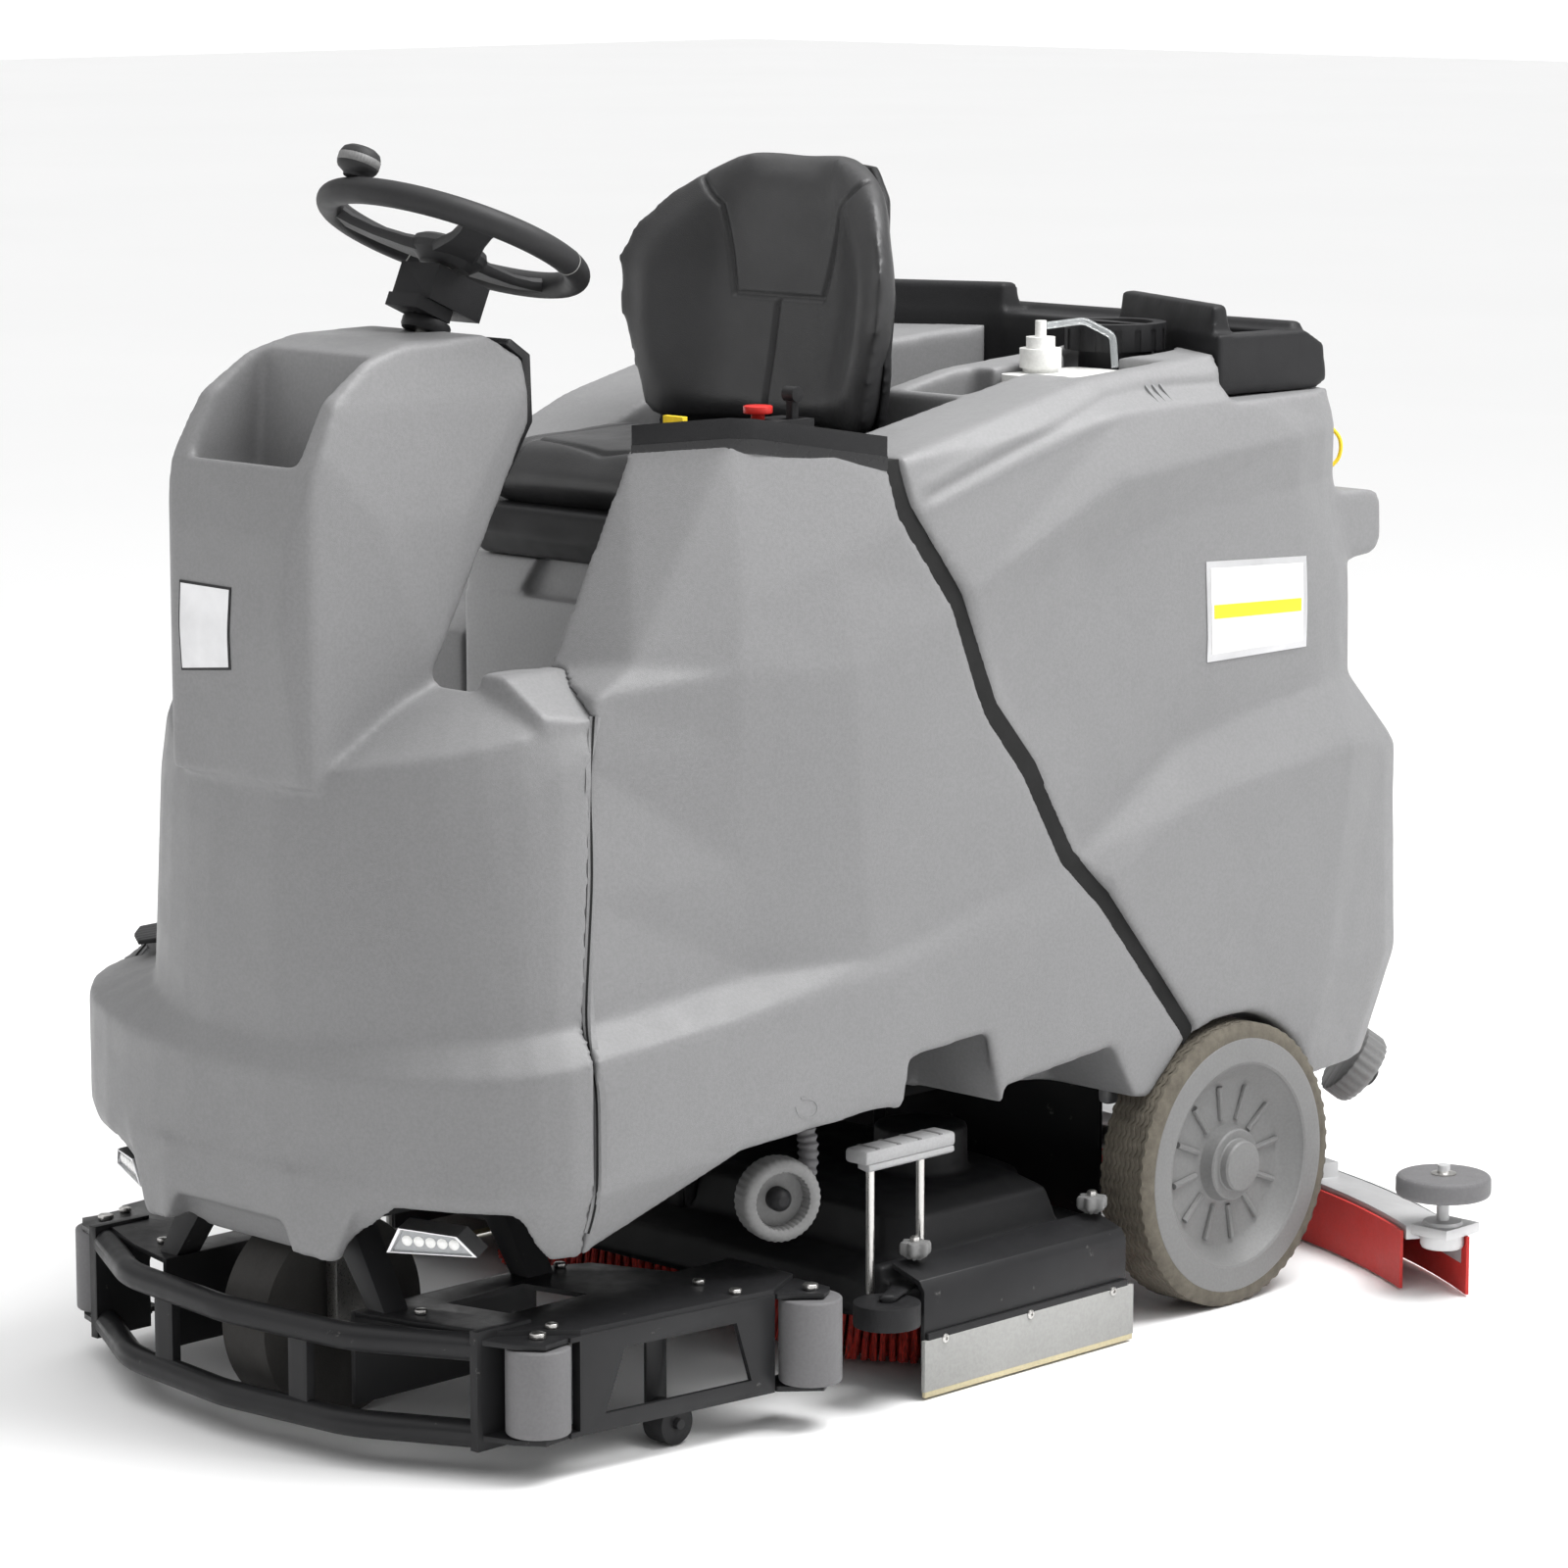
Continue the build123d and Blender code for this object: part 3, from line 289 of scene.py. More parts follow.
look("silver_cast", painted_casting, (0.62, 0.62, 0.625))
look("steel", metal, (0.6, 0.59, 0.57), (0.24, 0.4))
look("lamp", moulded, (0.34, 0.35, 0.36), (0.12, 0.2), 1800.0, 0.05, 0.03, coat=0.5)
look("gap_black", rubber, (0.008, 0.008, 0.008), (0.7, 0.85), 1200.0)
look("worn_edge", rubber, (0.52, 0.46, 0.30), (0.6, 0.78), 700.0)
look("led", moulded, (0.92, 0.92, 0.90), (0.08, 0.14), 1800.0, 0.02, 0.02, coat=0.8)
look("plate_silver", metal, (0.74, 0.74, 0.75), (0.3, 0.42))
look("white_plastic", moulded, (0.74, 0.74, 0.72), (0.28, 0.4), 1600.0, 0.1, 0.03)
look("clear_tube", clear, (0.82, 0.86, 0.87))
look("yellow", moulded, (0.86, 0.62, 0.02), (0.34, 0.48), 1500.0, 0.15, 0.06)
look("red", moulded, (0.6, 0.02, 0.015), (0.3, 0.42), 1500.0, 0.12, 0.08)
look("mat_rubber", ribbed_mat, (0.03, 0.03, 0.031))
look("battery", moulded, (0.05, 0.05, 0.06), (0.4, 0.55), 1300.0, 0.25, 0.15)


# ---- mesh helpers
def new_piece(name):
    piece = bpy.data.objects.new(name, bpy.data.meshes.new(name))
    bpy.context.scene.collection.objects.link(piece)
    return piece


def finished(piece, slot, body, replaces=()):
    """Give a new piece its material, its body and what it stands for."""
    piece.data.materials.clear()
    piece.data.materials.append(MATS[slot])
    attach(piece, body)
    if replaces:
        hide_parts(*replaces)
    return piece


def islands(bm):
    """The connected groups of vertices."""
    seen, groups = set(), []
    for start in bm.verts:
        if start in seen:
            continue
        group, stack = [], [start]
        seen.add(start)
        while stack:
            v = stack.pop()
            group.append(v)
            for edge in v.link_edges:
                other = edge.other_vert(v)
                if other not in seen:
                    seen.add(other)
                    stack.append(other)
        groups.append(group)
    return groups


def cad_bmesh(node):
    """The CAD node welded, its coplanar triangles joined, and its sealed voids left out."""
    bm = bmesh.new()
    bm.from_mesh(NODES[node].data)
    bmesh.ops.remove_doubles(bm, verts=bm.verts, dist=1e-5)
    voids = []
    for group in islands(bm):
        faces = {f for v in group for f in v.link_faces}
        if sum(f.verts[0].co.dot(f.verts[1].co.cross(f.verts[2].co)) for f in faces) < 0:
            voids += group
    bmesh.ops.delete(bm, geom=voids, context="VERTS")
    bmesh.ops.dissolve_limit(bm, angle_limit=math.radians(0.6), verts=bm.verts, edges=bm.edges)
    return bm


def evaluated(piece):
    """The piece's mesh with its modifiers applied."""
    depsgraph = bpy.context.evaluated_depsgraph_get()
    made = bpy.data.meshes.new_from_object(piece.evaluated_get(depsgraph))
    piece.modifiers.clear()
    piece.data = made
    return made


def blur(mesh, rounds, weight=None):
    """Move each vertex half-way to the middle of its neighbours, less where weight is low."""
    count = len(mesh.vertices)
    co = np.empty(count * 3)
    mesh.vertices.foreach_get("co", co)
    co = co.reshape(-1, 3)
    pairs = np.empty(len(mesh.edges) * 2, dtype=np.int64)
    mesh.edges.foreach_get("vertices", pairs)
    a, b = pairs[0::2], pairs[1::2]
    degree = np.bincount(pairs, minlength=count)[:, None]
    share = 0.5 * (np.ones(count) if weight is None else weight)[:, None]
    for _ in range(rounds):
        total = np.stack([np.bincount(a, co[b, k], count) + np.bincount(b, co[a, k], count)
                          for k in range(3)], axis=1)
        co = co + share * (total / degree - co)
    mesh.vertices.foreach_set("co", co.reshape(-1))
    mesh.update()


def tree_of(nodes):
    """A search tree over the surfaces of several CAD nodes."""
    verts, faces = [], []
    for node in nodes:
        base = len(verts)
        mesh = NODES[node].data
        verts += [v.co.copy() for v in mesh.vertices]
        faces += [[base + i for i in p.vertices] for p in mesh.polygons]
    return BVHTree.FromPolygons(verts, faces)


# how near a neighbour a moulding stays crisp, and the share of smoothing left there
CRISP_REACH, CRISP_SHARE = 12 * MM, 0.06


def softened(node, voxel, rounds, beside=()):
    """A moulded body: the CAD facets with their creases rounded, but crisp beside its neighbours."""
    piece = new_piece(node + "_skin")
    bm = cad_bmesh(node)
    bm.to_mesh(piece.data)
    bm.free()
    remesh = piece.modifiers.new("voxels", "REMESH")
    remesh.mode, remesh.voxel_size = "VOXEL", voxel
    mesh = evaluated(piece)
    weight = np.ones(len(mesh.vertices))
    if beside:
        tree = tree_of(beside)
        for v in mesh.vertices:
            if tree.find_nearest(v.co, CRISP_REACH)[0] is not None:
                weight[v.index] = CRISP_SHARE
    blur(mesh, rounds, weight)
    mesh.polygons.foreach_set("use_smooth", [True] * len(mesh.polygons))
    return finished(piece, SLOT_OF[node], BODY_OF[node], (node,))


def bevelled(node, width=1.5 * MM, segments=2, angle=32):
    """A machined, turned or folded piece: the CAD shape with its sharp edges broken."""
    piece = new_piece(node + "_part")
    bm = cad_bmesh(node)
    bm.to_mesh(piece.data)
    bm.free()
    bevel = piece.modifiers.new("edges", "BEVEL")
    bevel.width, bevel.segments, bevel.limit_method = width, segments, "ANGLE"
    bevel.angle_limit = math.radians(angle)
    shaded(evaluated(piece), angle)
    return finished(piece, SLOT_OF[node], BODY_OF[node], (node,))


# ---- shape helpers
def shaded(mesh, angle=35):
    """Smooth shading with the edges sharper than the angle kept sharp."""
    mesh.polygons.foreach_set("use_smooth", [True] * len(mesh.polygons))
    mesh.set_sharp_from_angle(angle=math.radians(angle))


def applied(piece, angle=35):
    """Bake the piece's modifiers into its mesh, leaving it where it rides."""
    parent, matrix = piece.parent, piece.matrix_world.copy()
    shaded(evaluated(piece), angle)
    piece.parent, piece.matrix_world = parent, matrix


def flipped(points, side):
    """Points given for the machine's left, in place on the side that is asked for."""
    return [(side * p[0], *p[1:]) for p in points]


def from_bmesh(name, bm, slot, body, replaces=(), angle=35):
    """A finished piece from a bmesh, welded and with its faces turned outwards."""
    bmesh.ops.remove_doubles(bm, verts=bm.verts, dist=2e-6)
    bmesh.ops.recalc_face_normals(bm, faces=bm.faces)
    piece = new_piece(name)
    bm.to_mesh(piece.data)
    bm.free()
    shaded(piece.data, angle)
    return finished(piece, slot, body, replaces)


def loft(name, rings, slot, body, replaces=(), angle=35):
    """A skin through rings of points (in millimetres) with the same count, capped at both ends."""
    bm = bmesh.new()
    add_loft(bm, rings)
    return from_bmesh(name, bm, slot, body, replaces, angle)


def add_loft(bm, rings, capped=True):
    rows = [[bm.verts.new(Vector(p) * MM) for p in ring] for ring in rings]
    count = len(rows[0])
    for low, high in zip(rows, rows[1:]):
        for i in range(count):
            j = (i + 1) % count
            bm.faces.new((low[i], low[j], high[j], high[i]))
    if capped:
        bm.faces.new(rows[0][::-1])
        bm.faces.new(rows[-1])


def square_to(axis):
    """Two directions across an axis, and the axis itself, each one unit long."""
    w = Vector(axis).normalized()
    u = (Vector((0, 0, 1)) if abs(w.z) < 0.9 else Vector((0, 1, 0))).cross(w).normalized()
    return u, w.cross(u), w


def circle(centre, axis, radius, segments=48, lobes=0, depth=0.0):
    """Points round a circle, its radius rippled by a number of lobes."""
    u, v, _ = square_to(axis)
    points = []
    for i in range(segments):
        turn = 2 * math.pi * i / segments
        r = radius - depth * (0.5 - 0.5 * math.cos(lobes * turn)) if lobes else radius
        points.append(Vector(centre) + u * (r * math.cos(turn)) + v * (r * math.sin(turn)))
    return points


def turned(name, profile, place, axis, slot, body, replaces=(), segments=64, angle=35, lobes=0,
           depth=0.0):
    """A turned piece: profile is (radius, height) pairs along the axis, in millimetres."""
    w = Vector(axis).normalized()
    rings = [circle(Vector(place) + w * height, axis, max(radius, 0.05), segments,
                    lobes if radius > 5 else 0, depth) for radius, height in profile]
    return loft(name, rings, slot, body, replaces, angle)


def prism(name, outline, axis, low, high, slot, body, replaces=(), bevel=1.5, segments=2, angle=35):
    """An outline pulled along an axis, its edges rounded. The outline is in the other two axes."""
    def at(a, b, c):
        return {"x": (c, a, b), "y": (a, c, b), "z": (a, b, c)}[axis]
    bm = bmesh.new()
    add_loft(bm, [[at(a, b, low) for a, b in outline], [at(a, b, high) for a, b in outline]])
    piece = from_bmesh(name, bm, slot, body, replaces, angle)
    if bevel:
        modifier = piece.modifiers.new("edges", "BEVEL")
        modifier.width, modifier.segments, modifier.limit_method = bevel * MM, segments, "ANGLE"
        modifier.angle_limit = math.radians(angle)
        applied(piece, angle)
    return piece


def block(name, x, y, z, slot, body, replaces=(), bevel=1.5):
    """A box between two values on each axis."""
    return prism(name, [(x[0], y[0]), (x[1], y[0]), (x[1], y[1]), (x[0], y[1])], "z", z[0], z[1], slot,
                 body, replaces, bevel)


def curved(points, steps=8):
    """A smooth line through points (Catmull-Rom)."""
    points = [Vector(p) for p in points]
    ends = [2 * points[0] - points[1]] + points + [2 * points[-1] - points[-2]]
    line = []
    for a, b, c, d in zip(ends, ends[1:], ends[2:], ends[3:]):
        for i in range(steps):
            t = i / steps
            line.append(0.5 * (2 * b + (c - a) * t + (2 * a - 5 * b + 4 * c - d) * t * t
                               + (3 * b - a - 3 * c + d) * t ** 3))
    return line + [points[-1]]


def tube(name, line, radius, slot, body, replaces=(), segments=14, angle=40):
    """A round bar along a line; radius is a number or gives the radius at each share of its length."""
    bm = bmesh.new()
    side = square_to(line[1] - line[0])[0]
    rings = []
    for i, point in enumerate(line):
        ahead = (line[min(i + 1, len(line) - 1)] - line[max(i - 1, 0)]).normalized()
        side = (side - ahead * side.dot(ahead)).normalized()
        other = ahead.cross(side)
        r = radius(i / (len(line) - 1)) if callable(radius) else radius
        rings.append([point + (side * math.cos(t) + other * math.sin(t)) * r
                      for t in (2 * math.pi * k / segments for k in range(segments))])
    add_loft(bm, rings)
    return from_bmesh(name, bm, slot, body, replaces, angle)


def surface_of(pieces):
    """A search tree over finished pieces."""
    verts, faces = [], []
    for piece in pieces:
        base = len(verts)
        verts += [piece.matrix_world @ v.co for v in piece.data.vertices]
        faces += [[base + i for i in p.vertices] for p in piece.data.polygons]
    return BVHTree.FromPolygons(verts, faces)


RIBBON_STEP = 6.0


def ribbon(name, line, width, low, high, slot, rounded=False, smooth=8):
    """A strip laid along a line on the mouldings, from low to high above them, in millimetres."""
    places = []
    for a, b in zip(line, line[1:]):
        a, b = Vector(a), Vector(b)
        count = max(1, round((b - a).length / RIBBON_STEP))
        places += [a + (b - a) * (i / count) for i in range(count)]
    places.append(Vector(line[-1]))
    found = [SURFACE.find_nearest(p * MM)[:2] for p in places]
    spots, normals = [spot / MM for spot, _ in found], [normal for _, normal in found]
    for _ in range(smooth):
        spots = [(a + b + c) / 3 for a, b, c in zip(spots[:1] + spots, spots, spots[1:] + spots[-1:])]
        normals = [(a + b + c).normalized()
                   for a, b, c in zip(normals[:1] + normals, normals, normals[1:] + normals[-1:])]
    rings = []
    for i, normal in enumerate(normals):
        ahead = (spots[min(i + 1, len(spots) - 1)] - spots[max(i - 1, 0)]).normalized()
        across = normal.cross(ahead).normalized() * (width / 2)
        shape = [(-1, low), (-1, high), (1, high), (1, low)]
        if rounded:
            shape = [(-1, low), (-0.6, 0.75 * high), (0, high), (0.6, 0.75 * high), (1, low)]
        rings.append([spots[i] + across * u + normal * v for u, v in shape])
    loft(name, rings, slot, "machine", angle=50)


PLATE_CELLS = 8


def plate(name, corners, lift, slot, thick=1.2, shrink=0.0):
    """A thin plate stuck on the mouldings between four corners, in millimetres."""
    a, b, c, d = (Vector(p) for p in corners)
    middle = (a + b + c + d) / 4
    if shrink:
        a, b, c, d = (p + (middle - p).normalized() * shrink for p in (a, b, c, d))
    bm = bmesh.new()
    rows = []
    for i in range(PLATE_CELLS + 1):
        row = []
        for j in range(PLATE_CELLS + 1):
            u, v = j / PLATE_CELLS, i / PLATE_CELLS
            p = (a * (1 - u) + b * u) * (1 - v) + (d * (1 - u) + c * u) * v
            spot, normal = SURFACE.find_nearest(p * MM)[:2]
            row.append(bm.verts.new(spot + normal * (lift * MM)))
        rows.append(row)
    for low, high in zip(rows, rows[1:]):
        for i in range(PLATE_CELLS):
            bm.faces.new((low[i], low[i + 1], high[i + 1], high[i]))
    piece = from_bmesh(name, bm, slot, "machine")
    solid = piece.modifiers.new("thick", "SOLIDIFY")
    solid.thickness, solid.offset = thick * MM, -1
    applied(piece)


# ---- moulded bodies
BODY_VOXEL = 0.0045
ROUNDS = 8
FINE_VOXEL = 0.004
BODY = [softened(node, BODY_VOXEL, ROUNDS, beside) for node, beside in (
    ("front_cowl", ("left_side_panel", "right_side_panel", "column_head")),
    ("left_side_panel", ("front_cowl", "control_tray")),
    ("right_side_panel", ("front_cowl",)),
    ("tank_body", ("tank_lid",)))]
TANK = BODY[-1]
for node, rounds in (("tank_lid", 3), ("seat_pedestal", 2), ("deck_cover", 4)):
    softened(node, FINE_VOXEL, rounds)

# the back of the seat's shell narrows by a share between two heights, and is lower above a third one
SHELL_LOW, SHELL_HIGH, SHELL_NARROWER = 1080, 1200, 0.075
SHELL_TOP, SHELL_LOWER = 1300, 0.14


def slim_back():
    """The seat's shell, its back drawn in a little behind the cushion."""
    for v in softened("seat_shell", FINE_VOXEL, 8).data.vertices:
        z = v.co.z / MM
        rise = min(max((z - SHELL_LOW) / (SHELL_HIGH - SHELL_LOW), 0), 1)
        v.co.x *= 1 - SHELL_NARROWER * rise
        v.co.z -= max(z - SHELL_TOP, 0) * SHELL_LOWER * MM


slim_back()

# creases of the tank's flank in Y and Z: it stands out over the high lines and falls back under the low
FLANK_HIGH = [(-90, 930), (-58, 943), (11, 976), (81, 1001), (204, 1052), (410, 1071), (700, 1085)]
FLANK_LOW = [(-60, 780), (10, 835), (113, 907), (225, 984), (416, 1006), (664, 1021), (700, 1024)]
BULGE_HIGH = [(90, 560), (149, 617), (238, 673), (328, 717), (477, 743), (628, 764), (760, 770)]
BULGE_LOW = [(110, 500), (183, 573), (266, 618), (358, 655), (482, 669), (634, 681), (760, 690)]
GROOVE = [(-140, 1040), (-117, 1053), (52, 1101), (233, 1146), (342, 1152), (462, 1151)]
GROOVE_END, GROOVE_WIDTH = 462, 7
# the gap before the tank, in Z and Y
GAP = [(230, 262), (352, 334), (597, 128), (793, -6), (1036, -130)]
FLANK_X = 340


def level(places, line):
    """The height of a line at each place along it."""
    return np.interp(places, [p[0] for p in line], [p[1] for p in line])


def unit(values):
    return np.clip(values, 0, 1)


def band(y, z, lines, at_low, at_high, fade_above, fade_below):
    """How far out a flank stands between its low and high lines, fading away above and below."""
    low, high = (level(y, line) for line in lines)
    share = unit((z - low) / (high - low))
    out = at_low + (at_high - at_low) * share
    return out * unit((high + fade_above - z) / fade_above) * unit((z - low + fade_below) / fade_below)


def carve(side):
    """Sharpen the moulded bands along the tank's flank, and press the groove under its shoulder."""
    mesh = TANK.data
    co = np.array([v.co for v in mesh.vertices]) / MM
    normal = np.array([v.normal for v in mesh.vertices])
    y, z = co[:, 1], co[:, 2]
    flank = unit((side * co[:, 0] - FLANK_X) / 20) * unit(side * normal[:, 0] * 2)
    flank *= unit((y - level(z, GAP) - 6) / 25)
    move = band(y, z, (FLANK_LOW, FLANK_HIGH), -5, 5, 75, 160)
    move += band(y, z, (BULGE_LOW, BULGE_HIGH), 3, -5, 120, 90)
    off = (z - level(y, GROOVE)) / GROOVE_WIDTH
    trough = sum(depth * np.exp(-(off - place) ** 2)
                 for depth, place in ((-4.0, 0), (1.5, 2.2), (1.2, -2.2)))
    move += trough * unit((GROOVE_END - y) / 20)
    co[:, 0] += side * flank * move
    mesh.vertices.foreach_set("co", (co * MM).reshape(-1))
    mesh.update()


for _, side in SIDES:
    carve(side)
SURFACE = surface_of(BODY)

for node in ("instrument_panel", "control_tray", "service_cover", "detergent_canister",
             "drain_hose", "suction_hose", "floor_mat", "battery_pack", "chassis_frame", "rear_axle",
             "bumper_frame", "bumper_bolts", "filler_cap", "key_switch", "stop_button", "drive_lever",
             "rocker_switch", "accelerator_pedal", "drive_wheel", "squeegee_arm", "squeegee_beam",
             "steering_shaft", "caster_wheel_left", "caster_wheel_right", "deflector_roller_left",
             "deflector_roller_right"):
    bevelled(node)
bevelled("column_head", 5 * MM, segments=3)
# the motor turns just clear of the cowl's inner wall
MOTOR_Y, MOTOR_LOW, MOTOR_SHARE = -702 * MM, 390 * MM, 0.96
for v in bevelled("drive_unit").data.vertices:
    if v.co.z > MOTOR_LOW:
        v.co.x *= MOTOR_SHARE
        v.co.y = MOTOR_Y + (v.co.y - MOTOR_Y) * MOTOR_SHARE
for node in ("bumper_roller_front_left", "bumper_roller_front_right", "bumper_roller_side_left",
             "bumper_roller_side_right", "squeegee_roller_left", "squeegee_roller_right"):
    bevelled(node, 3 * MM, segments=3)
for node in ("dosing_tube", "squeegee_blades"):
    NODES[node].data.materials.clear()
    NODES[node].data.materials.append(MATS[SLOT_OF[node]])


# ---- joints between the mouldings
# the slanting gap and the front seam, in millimetres on the left side
SPLIT = [(443, 334, 352), (443, 172, 548), (431, 120, 602), (430, 50, 720), (428, -17, 798),
         (425, -73, 935), (407, -140, 1038), (385, -142, 1100)]
SEAM = [(419, -655, 246), (419, -655, 343), (419, -655, 456), (381, -637, 504), (357, -602, 660),
        (346, -590, 772), (331, -573, 858)]
STRIP_HALF, STRIP_INNER, STRIP_OUTER = 13, 24, 5


def body_joints():
    """The black strip in the slanting gap, and the thin seam in front."""
    for name, side in SIDES:
        # the right panel ends lower: there the strip stops under the seat and the seam at the floor
        split, seam = (SPLIT, SEAM) if name == "left" else (SPLIT[:-1], SEAM[:4])
        rings = []
        for i, (x, y, z) in enumerate(split):
            before, after = split[max(i - 1, 0)], split[min(i + 1, len(split) - 1)]
            ahead = Vector((0, after[1] - before[1], after[2] - before[2])).normalized()
            across = Vector((0, ahead.z, -ahead.y)) * STRIP_HALF
            inner = Vector((side * (x - STRIP_INNER), y, z))
            outer = Vector((side * (x - STRIP_OUTER), y, z))
            rings.append([inner - across, outer - across, outer + across, inner + across])
        loft("gap_strip_" + name, rings, "gap_black", "machine")
        seam = flipped(seam, side)
        ribbon("seam_lip_" + name, seam, 16.0, -5, 1.3, "body_grey", rounded=True, smooth=24)
        ribbon("front_seam_" + name, seam, 2.6, -3, 1.9, "gap_black", smooth=24)


body_joints()


# ---- plates and marks
def marks():
    """Blank plates where the badges are, and the small marks moulded in the flanks."""
    front = [(-81, -828, 982), (10, -828, 981), (5, -827, 887), (-83, -826, 878)]
    plate("front_plate_rim", front, 1.0, "frame_black")
    plate("front_plate", front, 1.6, "plate_silver", shrink=4)
    for name, side in SIDES:
        rim = [(417, 383, 938), (415, 579, 928), (416, 581, 813), (419, 384, 813)]
        face = [(417, 391, 929), (415, 571, 920), (416, 572, 822), (419, 392, 822)]
        stripe = [(417, 396, 883), (415, 567, 876), (415, 567, 860), (419, 396, 866)]
        plate("tank_plate_" + name, flipped(rim, side), 1.4, "plate_silver")
        plate("tank_plate_face_" + name, flipped(face, side), 1.8, "white_plastic")
        plate("tank_plate_band_" + name, flipped(stripe, side), 2.3, "yellow", thick=1.0)
        for k in range(3):
            y = 312 + 13 * k
            line = flipped([(372, y, 1166), (392, y, 1150), (404, y, 1133)], side)
            ribbon("level_mark_%s_%d" % (name, k), line, 3.0, -2, 0.8, "body_grey", rounded=True)
        square = [(436, -358, 385), (438, -321, 382), (438, -321, 356), (436, -358, 360)]
        ribbon("jack_mark_" + name, flipped(square + square[:1], side), 2.2, -2, 0.7, "body_grey")


marks()


def tray_skirt():
    """The seal that closes the gap between the control tray and the side panel."""
    edge = [(238, -424, 1126), (331, -360, 1136), (345, -330, 1134), (386, -156, 1104), (240, -156, 1104),
            (238, -300, 1119)]
    middle = sum((Vector(p) for p in edge), Vector()) / len(edge)
    rings = [[(middle.x + (x - middle.x) * share, middle.y + (y - middle.y) * share, z - drop)
              for x, y, z in edge] for share, drop in ((0.995, 15), (1.005, 12), (1.005, -2))]
    loft("tray_skirt", rings, "black_panel", "machine")


tray_skirt()


# ---- seat
def grooved(mesh, lines, plane, facing, width, depth):
    """Press seams into a mesh along lines drawn in a plane, on the side that faces one way."""
    count = len(mesh.vertices)
    co = np.empty(count * 3)
    mesh.vertices.foreach_get("co", co)
    co = co.reshape(-1, 3)
    normal = np.array([v.normal for v in mesh.vertices])
    flat = co[:, plane] / MM
    near = np.full(count, 1e9)
    for line in lines:
        for a, b in zip(line, line[1:]):
            a, b = np.array(a, float), np.array(b, float)
            share = np.clip(((flat - a) @ (b - a)) / ((b - a) @ (b - a)), 0, 1)
            near = np.minimum(near, np.linalg.norm(flat - a - share[:, None] * (b - a), axis=1))
    dip = depth * np.exp(-(near / width) ** 2) * np.clip(normal @ np.array(facing, float) * 2, 0, 1)
    co -= normal * (dip * MM)[:, None]
    mesh.vertices.foreach_set("co", co.reshape(-1))
    mesh.update()


# backrest: height, half width, Y of its front at the sides and in the middle, and its thickness
BACK_ROWS = [(1090, 176, 4, 40, 26), (1100, 194, -8, 36, 38), (1170, 218, -16, 52, 40),
             (1230, 232, -21, 63, 40), (1290, 235, -22, 72, 40), (1340, 218, -12, 77, 40),
             (1385, 184, 18, 82, 40), (1420, 142, 48, 88, 38), (1438, 104, 66, 93, 32),
             (1446, 70, 80, 98, 20)]


def back_form():
    """The bucket-shaped back through its rows."""
    levels = curved([row[1:4] for row in BACK_ROWS], 5)
    heights = curved([(row[0], row[4], 0) for row in BACK_ROWS], 5)
    rings = []
    for (half, edge, middle), (z, thick, _) in zip(levels, heights):
        front = curved([(-half, edge, z), (-0.72 * half, edge * 0.45 + middle * 0.55, z),
                        (-0.42 * half, middle - 2, z), (0, middle, z), (0.42 * half, middle - 2, z),
                        (0.72 * half, edge * 0.45 + middle * 0.55, z), (half, edge, z)], 4)
        rings.append(front + [p + Vector((-p.x * 0.04, thick, 0)) for p in reversed(front)])
    bm = bmesh.new()
    add_loft(bm, rings)
    bmesh.ops.recalc_face_normals(bm, faces=bm.faces)
    return bm


CUSHION_VOXEL, CUSHION_SHARE = 5.5 * MM, 0.98
PRESSURE, PRESSED_FRAMES, CROWN = 4.0, 20, 12 * MM
SEAM_WIDTH, SEAM_DEPTH = 3.2, 5.0


def blown_up(piece, start):
    """How far each vertex of the piece moves when it is blown up as cloth, the crown at most."""
    scene = bpy.context.scene
    cloth = piece.modifiers.new("cloth", "CLOTH")
    cloth.settings.quality = 5
    cloth.settings.mass = 0.3
    cloth.settings.use_pressure = True
    cloth.settings.uniform_pressure_force = PRESSURE
    cloth.settings.effector_weights.gravity = 0
    cloth.point_cache.frame_start, cloth.point_cache.frame_end = 1, PRESSED_FRAMES
    for frame_number in range(1, PRESSED_FRAMES + 1):
        scene.frame_set(frame_number)
    blown = piece.evaluated_get(bpy.context.evaluated_depsgraph_get())
    moved = np.array([v.co for v in blown.data.vertices]) - start
    piece.modifiers.clear()
    scene.frame_set(1)
    size = np.linalg.norm(moved, axis=1)
    return moved * np.minimum(1, CROWN / np.maximum(size, 1e-9))[:, None]


def stuffed(node, bm, seams, plane, facing):
    """An upholstered cushion: a plain form blown up as cloth, with sewn seams."""
    piece = new_piece(node + "_cover")
    middle = sum((v.co for v in bm.verts), Vector()) / len(bm.verts)
    for v in bm.verts:
        v.co = middle + (v.co - middle) * CUSHION_SHARE
    bm.to_mesh(piece.data)
    bm.free()
    remesh = piece.modifiers.new("voxels", "REMESH")
    remesh.mode, remesh.voxel_size = "VOXEL", CUSHION_VOXEL
    mesh = evaluated(piece)
    blur(mesh, 16)
    # the crown stays and the small wrinkles along the thin edges are evened out
    start = np.array([v.co for v in mesh.vertices])
    mesh.vertices.foreach_set("co", blown_up(piece, start).reshape(-1))
    blur(mesh, 30)
    moved = np.array([v.co for v in mesh.vertices])
    mesh.vertices.foreach_set("co", (start + moved).reshape(-1))
    mesh.update()
    blur(mesh, 6)
    divide = piece.modifiers.new("finer", "SUBSURF")
    divide.levels = 1
    mesh = evaluated(piece)
    grooved(mesh, seams, plane, facing, SEAM_WIDTH, SEAM_DEPTH)
    shaded(mesh, 80)
    finished(piece, SLOT_OF[node], BODY_OF[node], (node,))


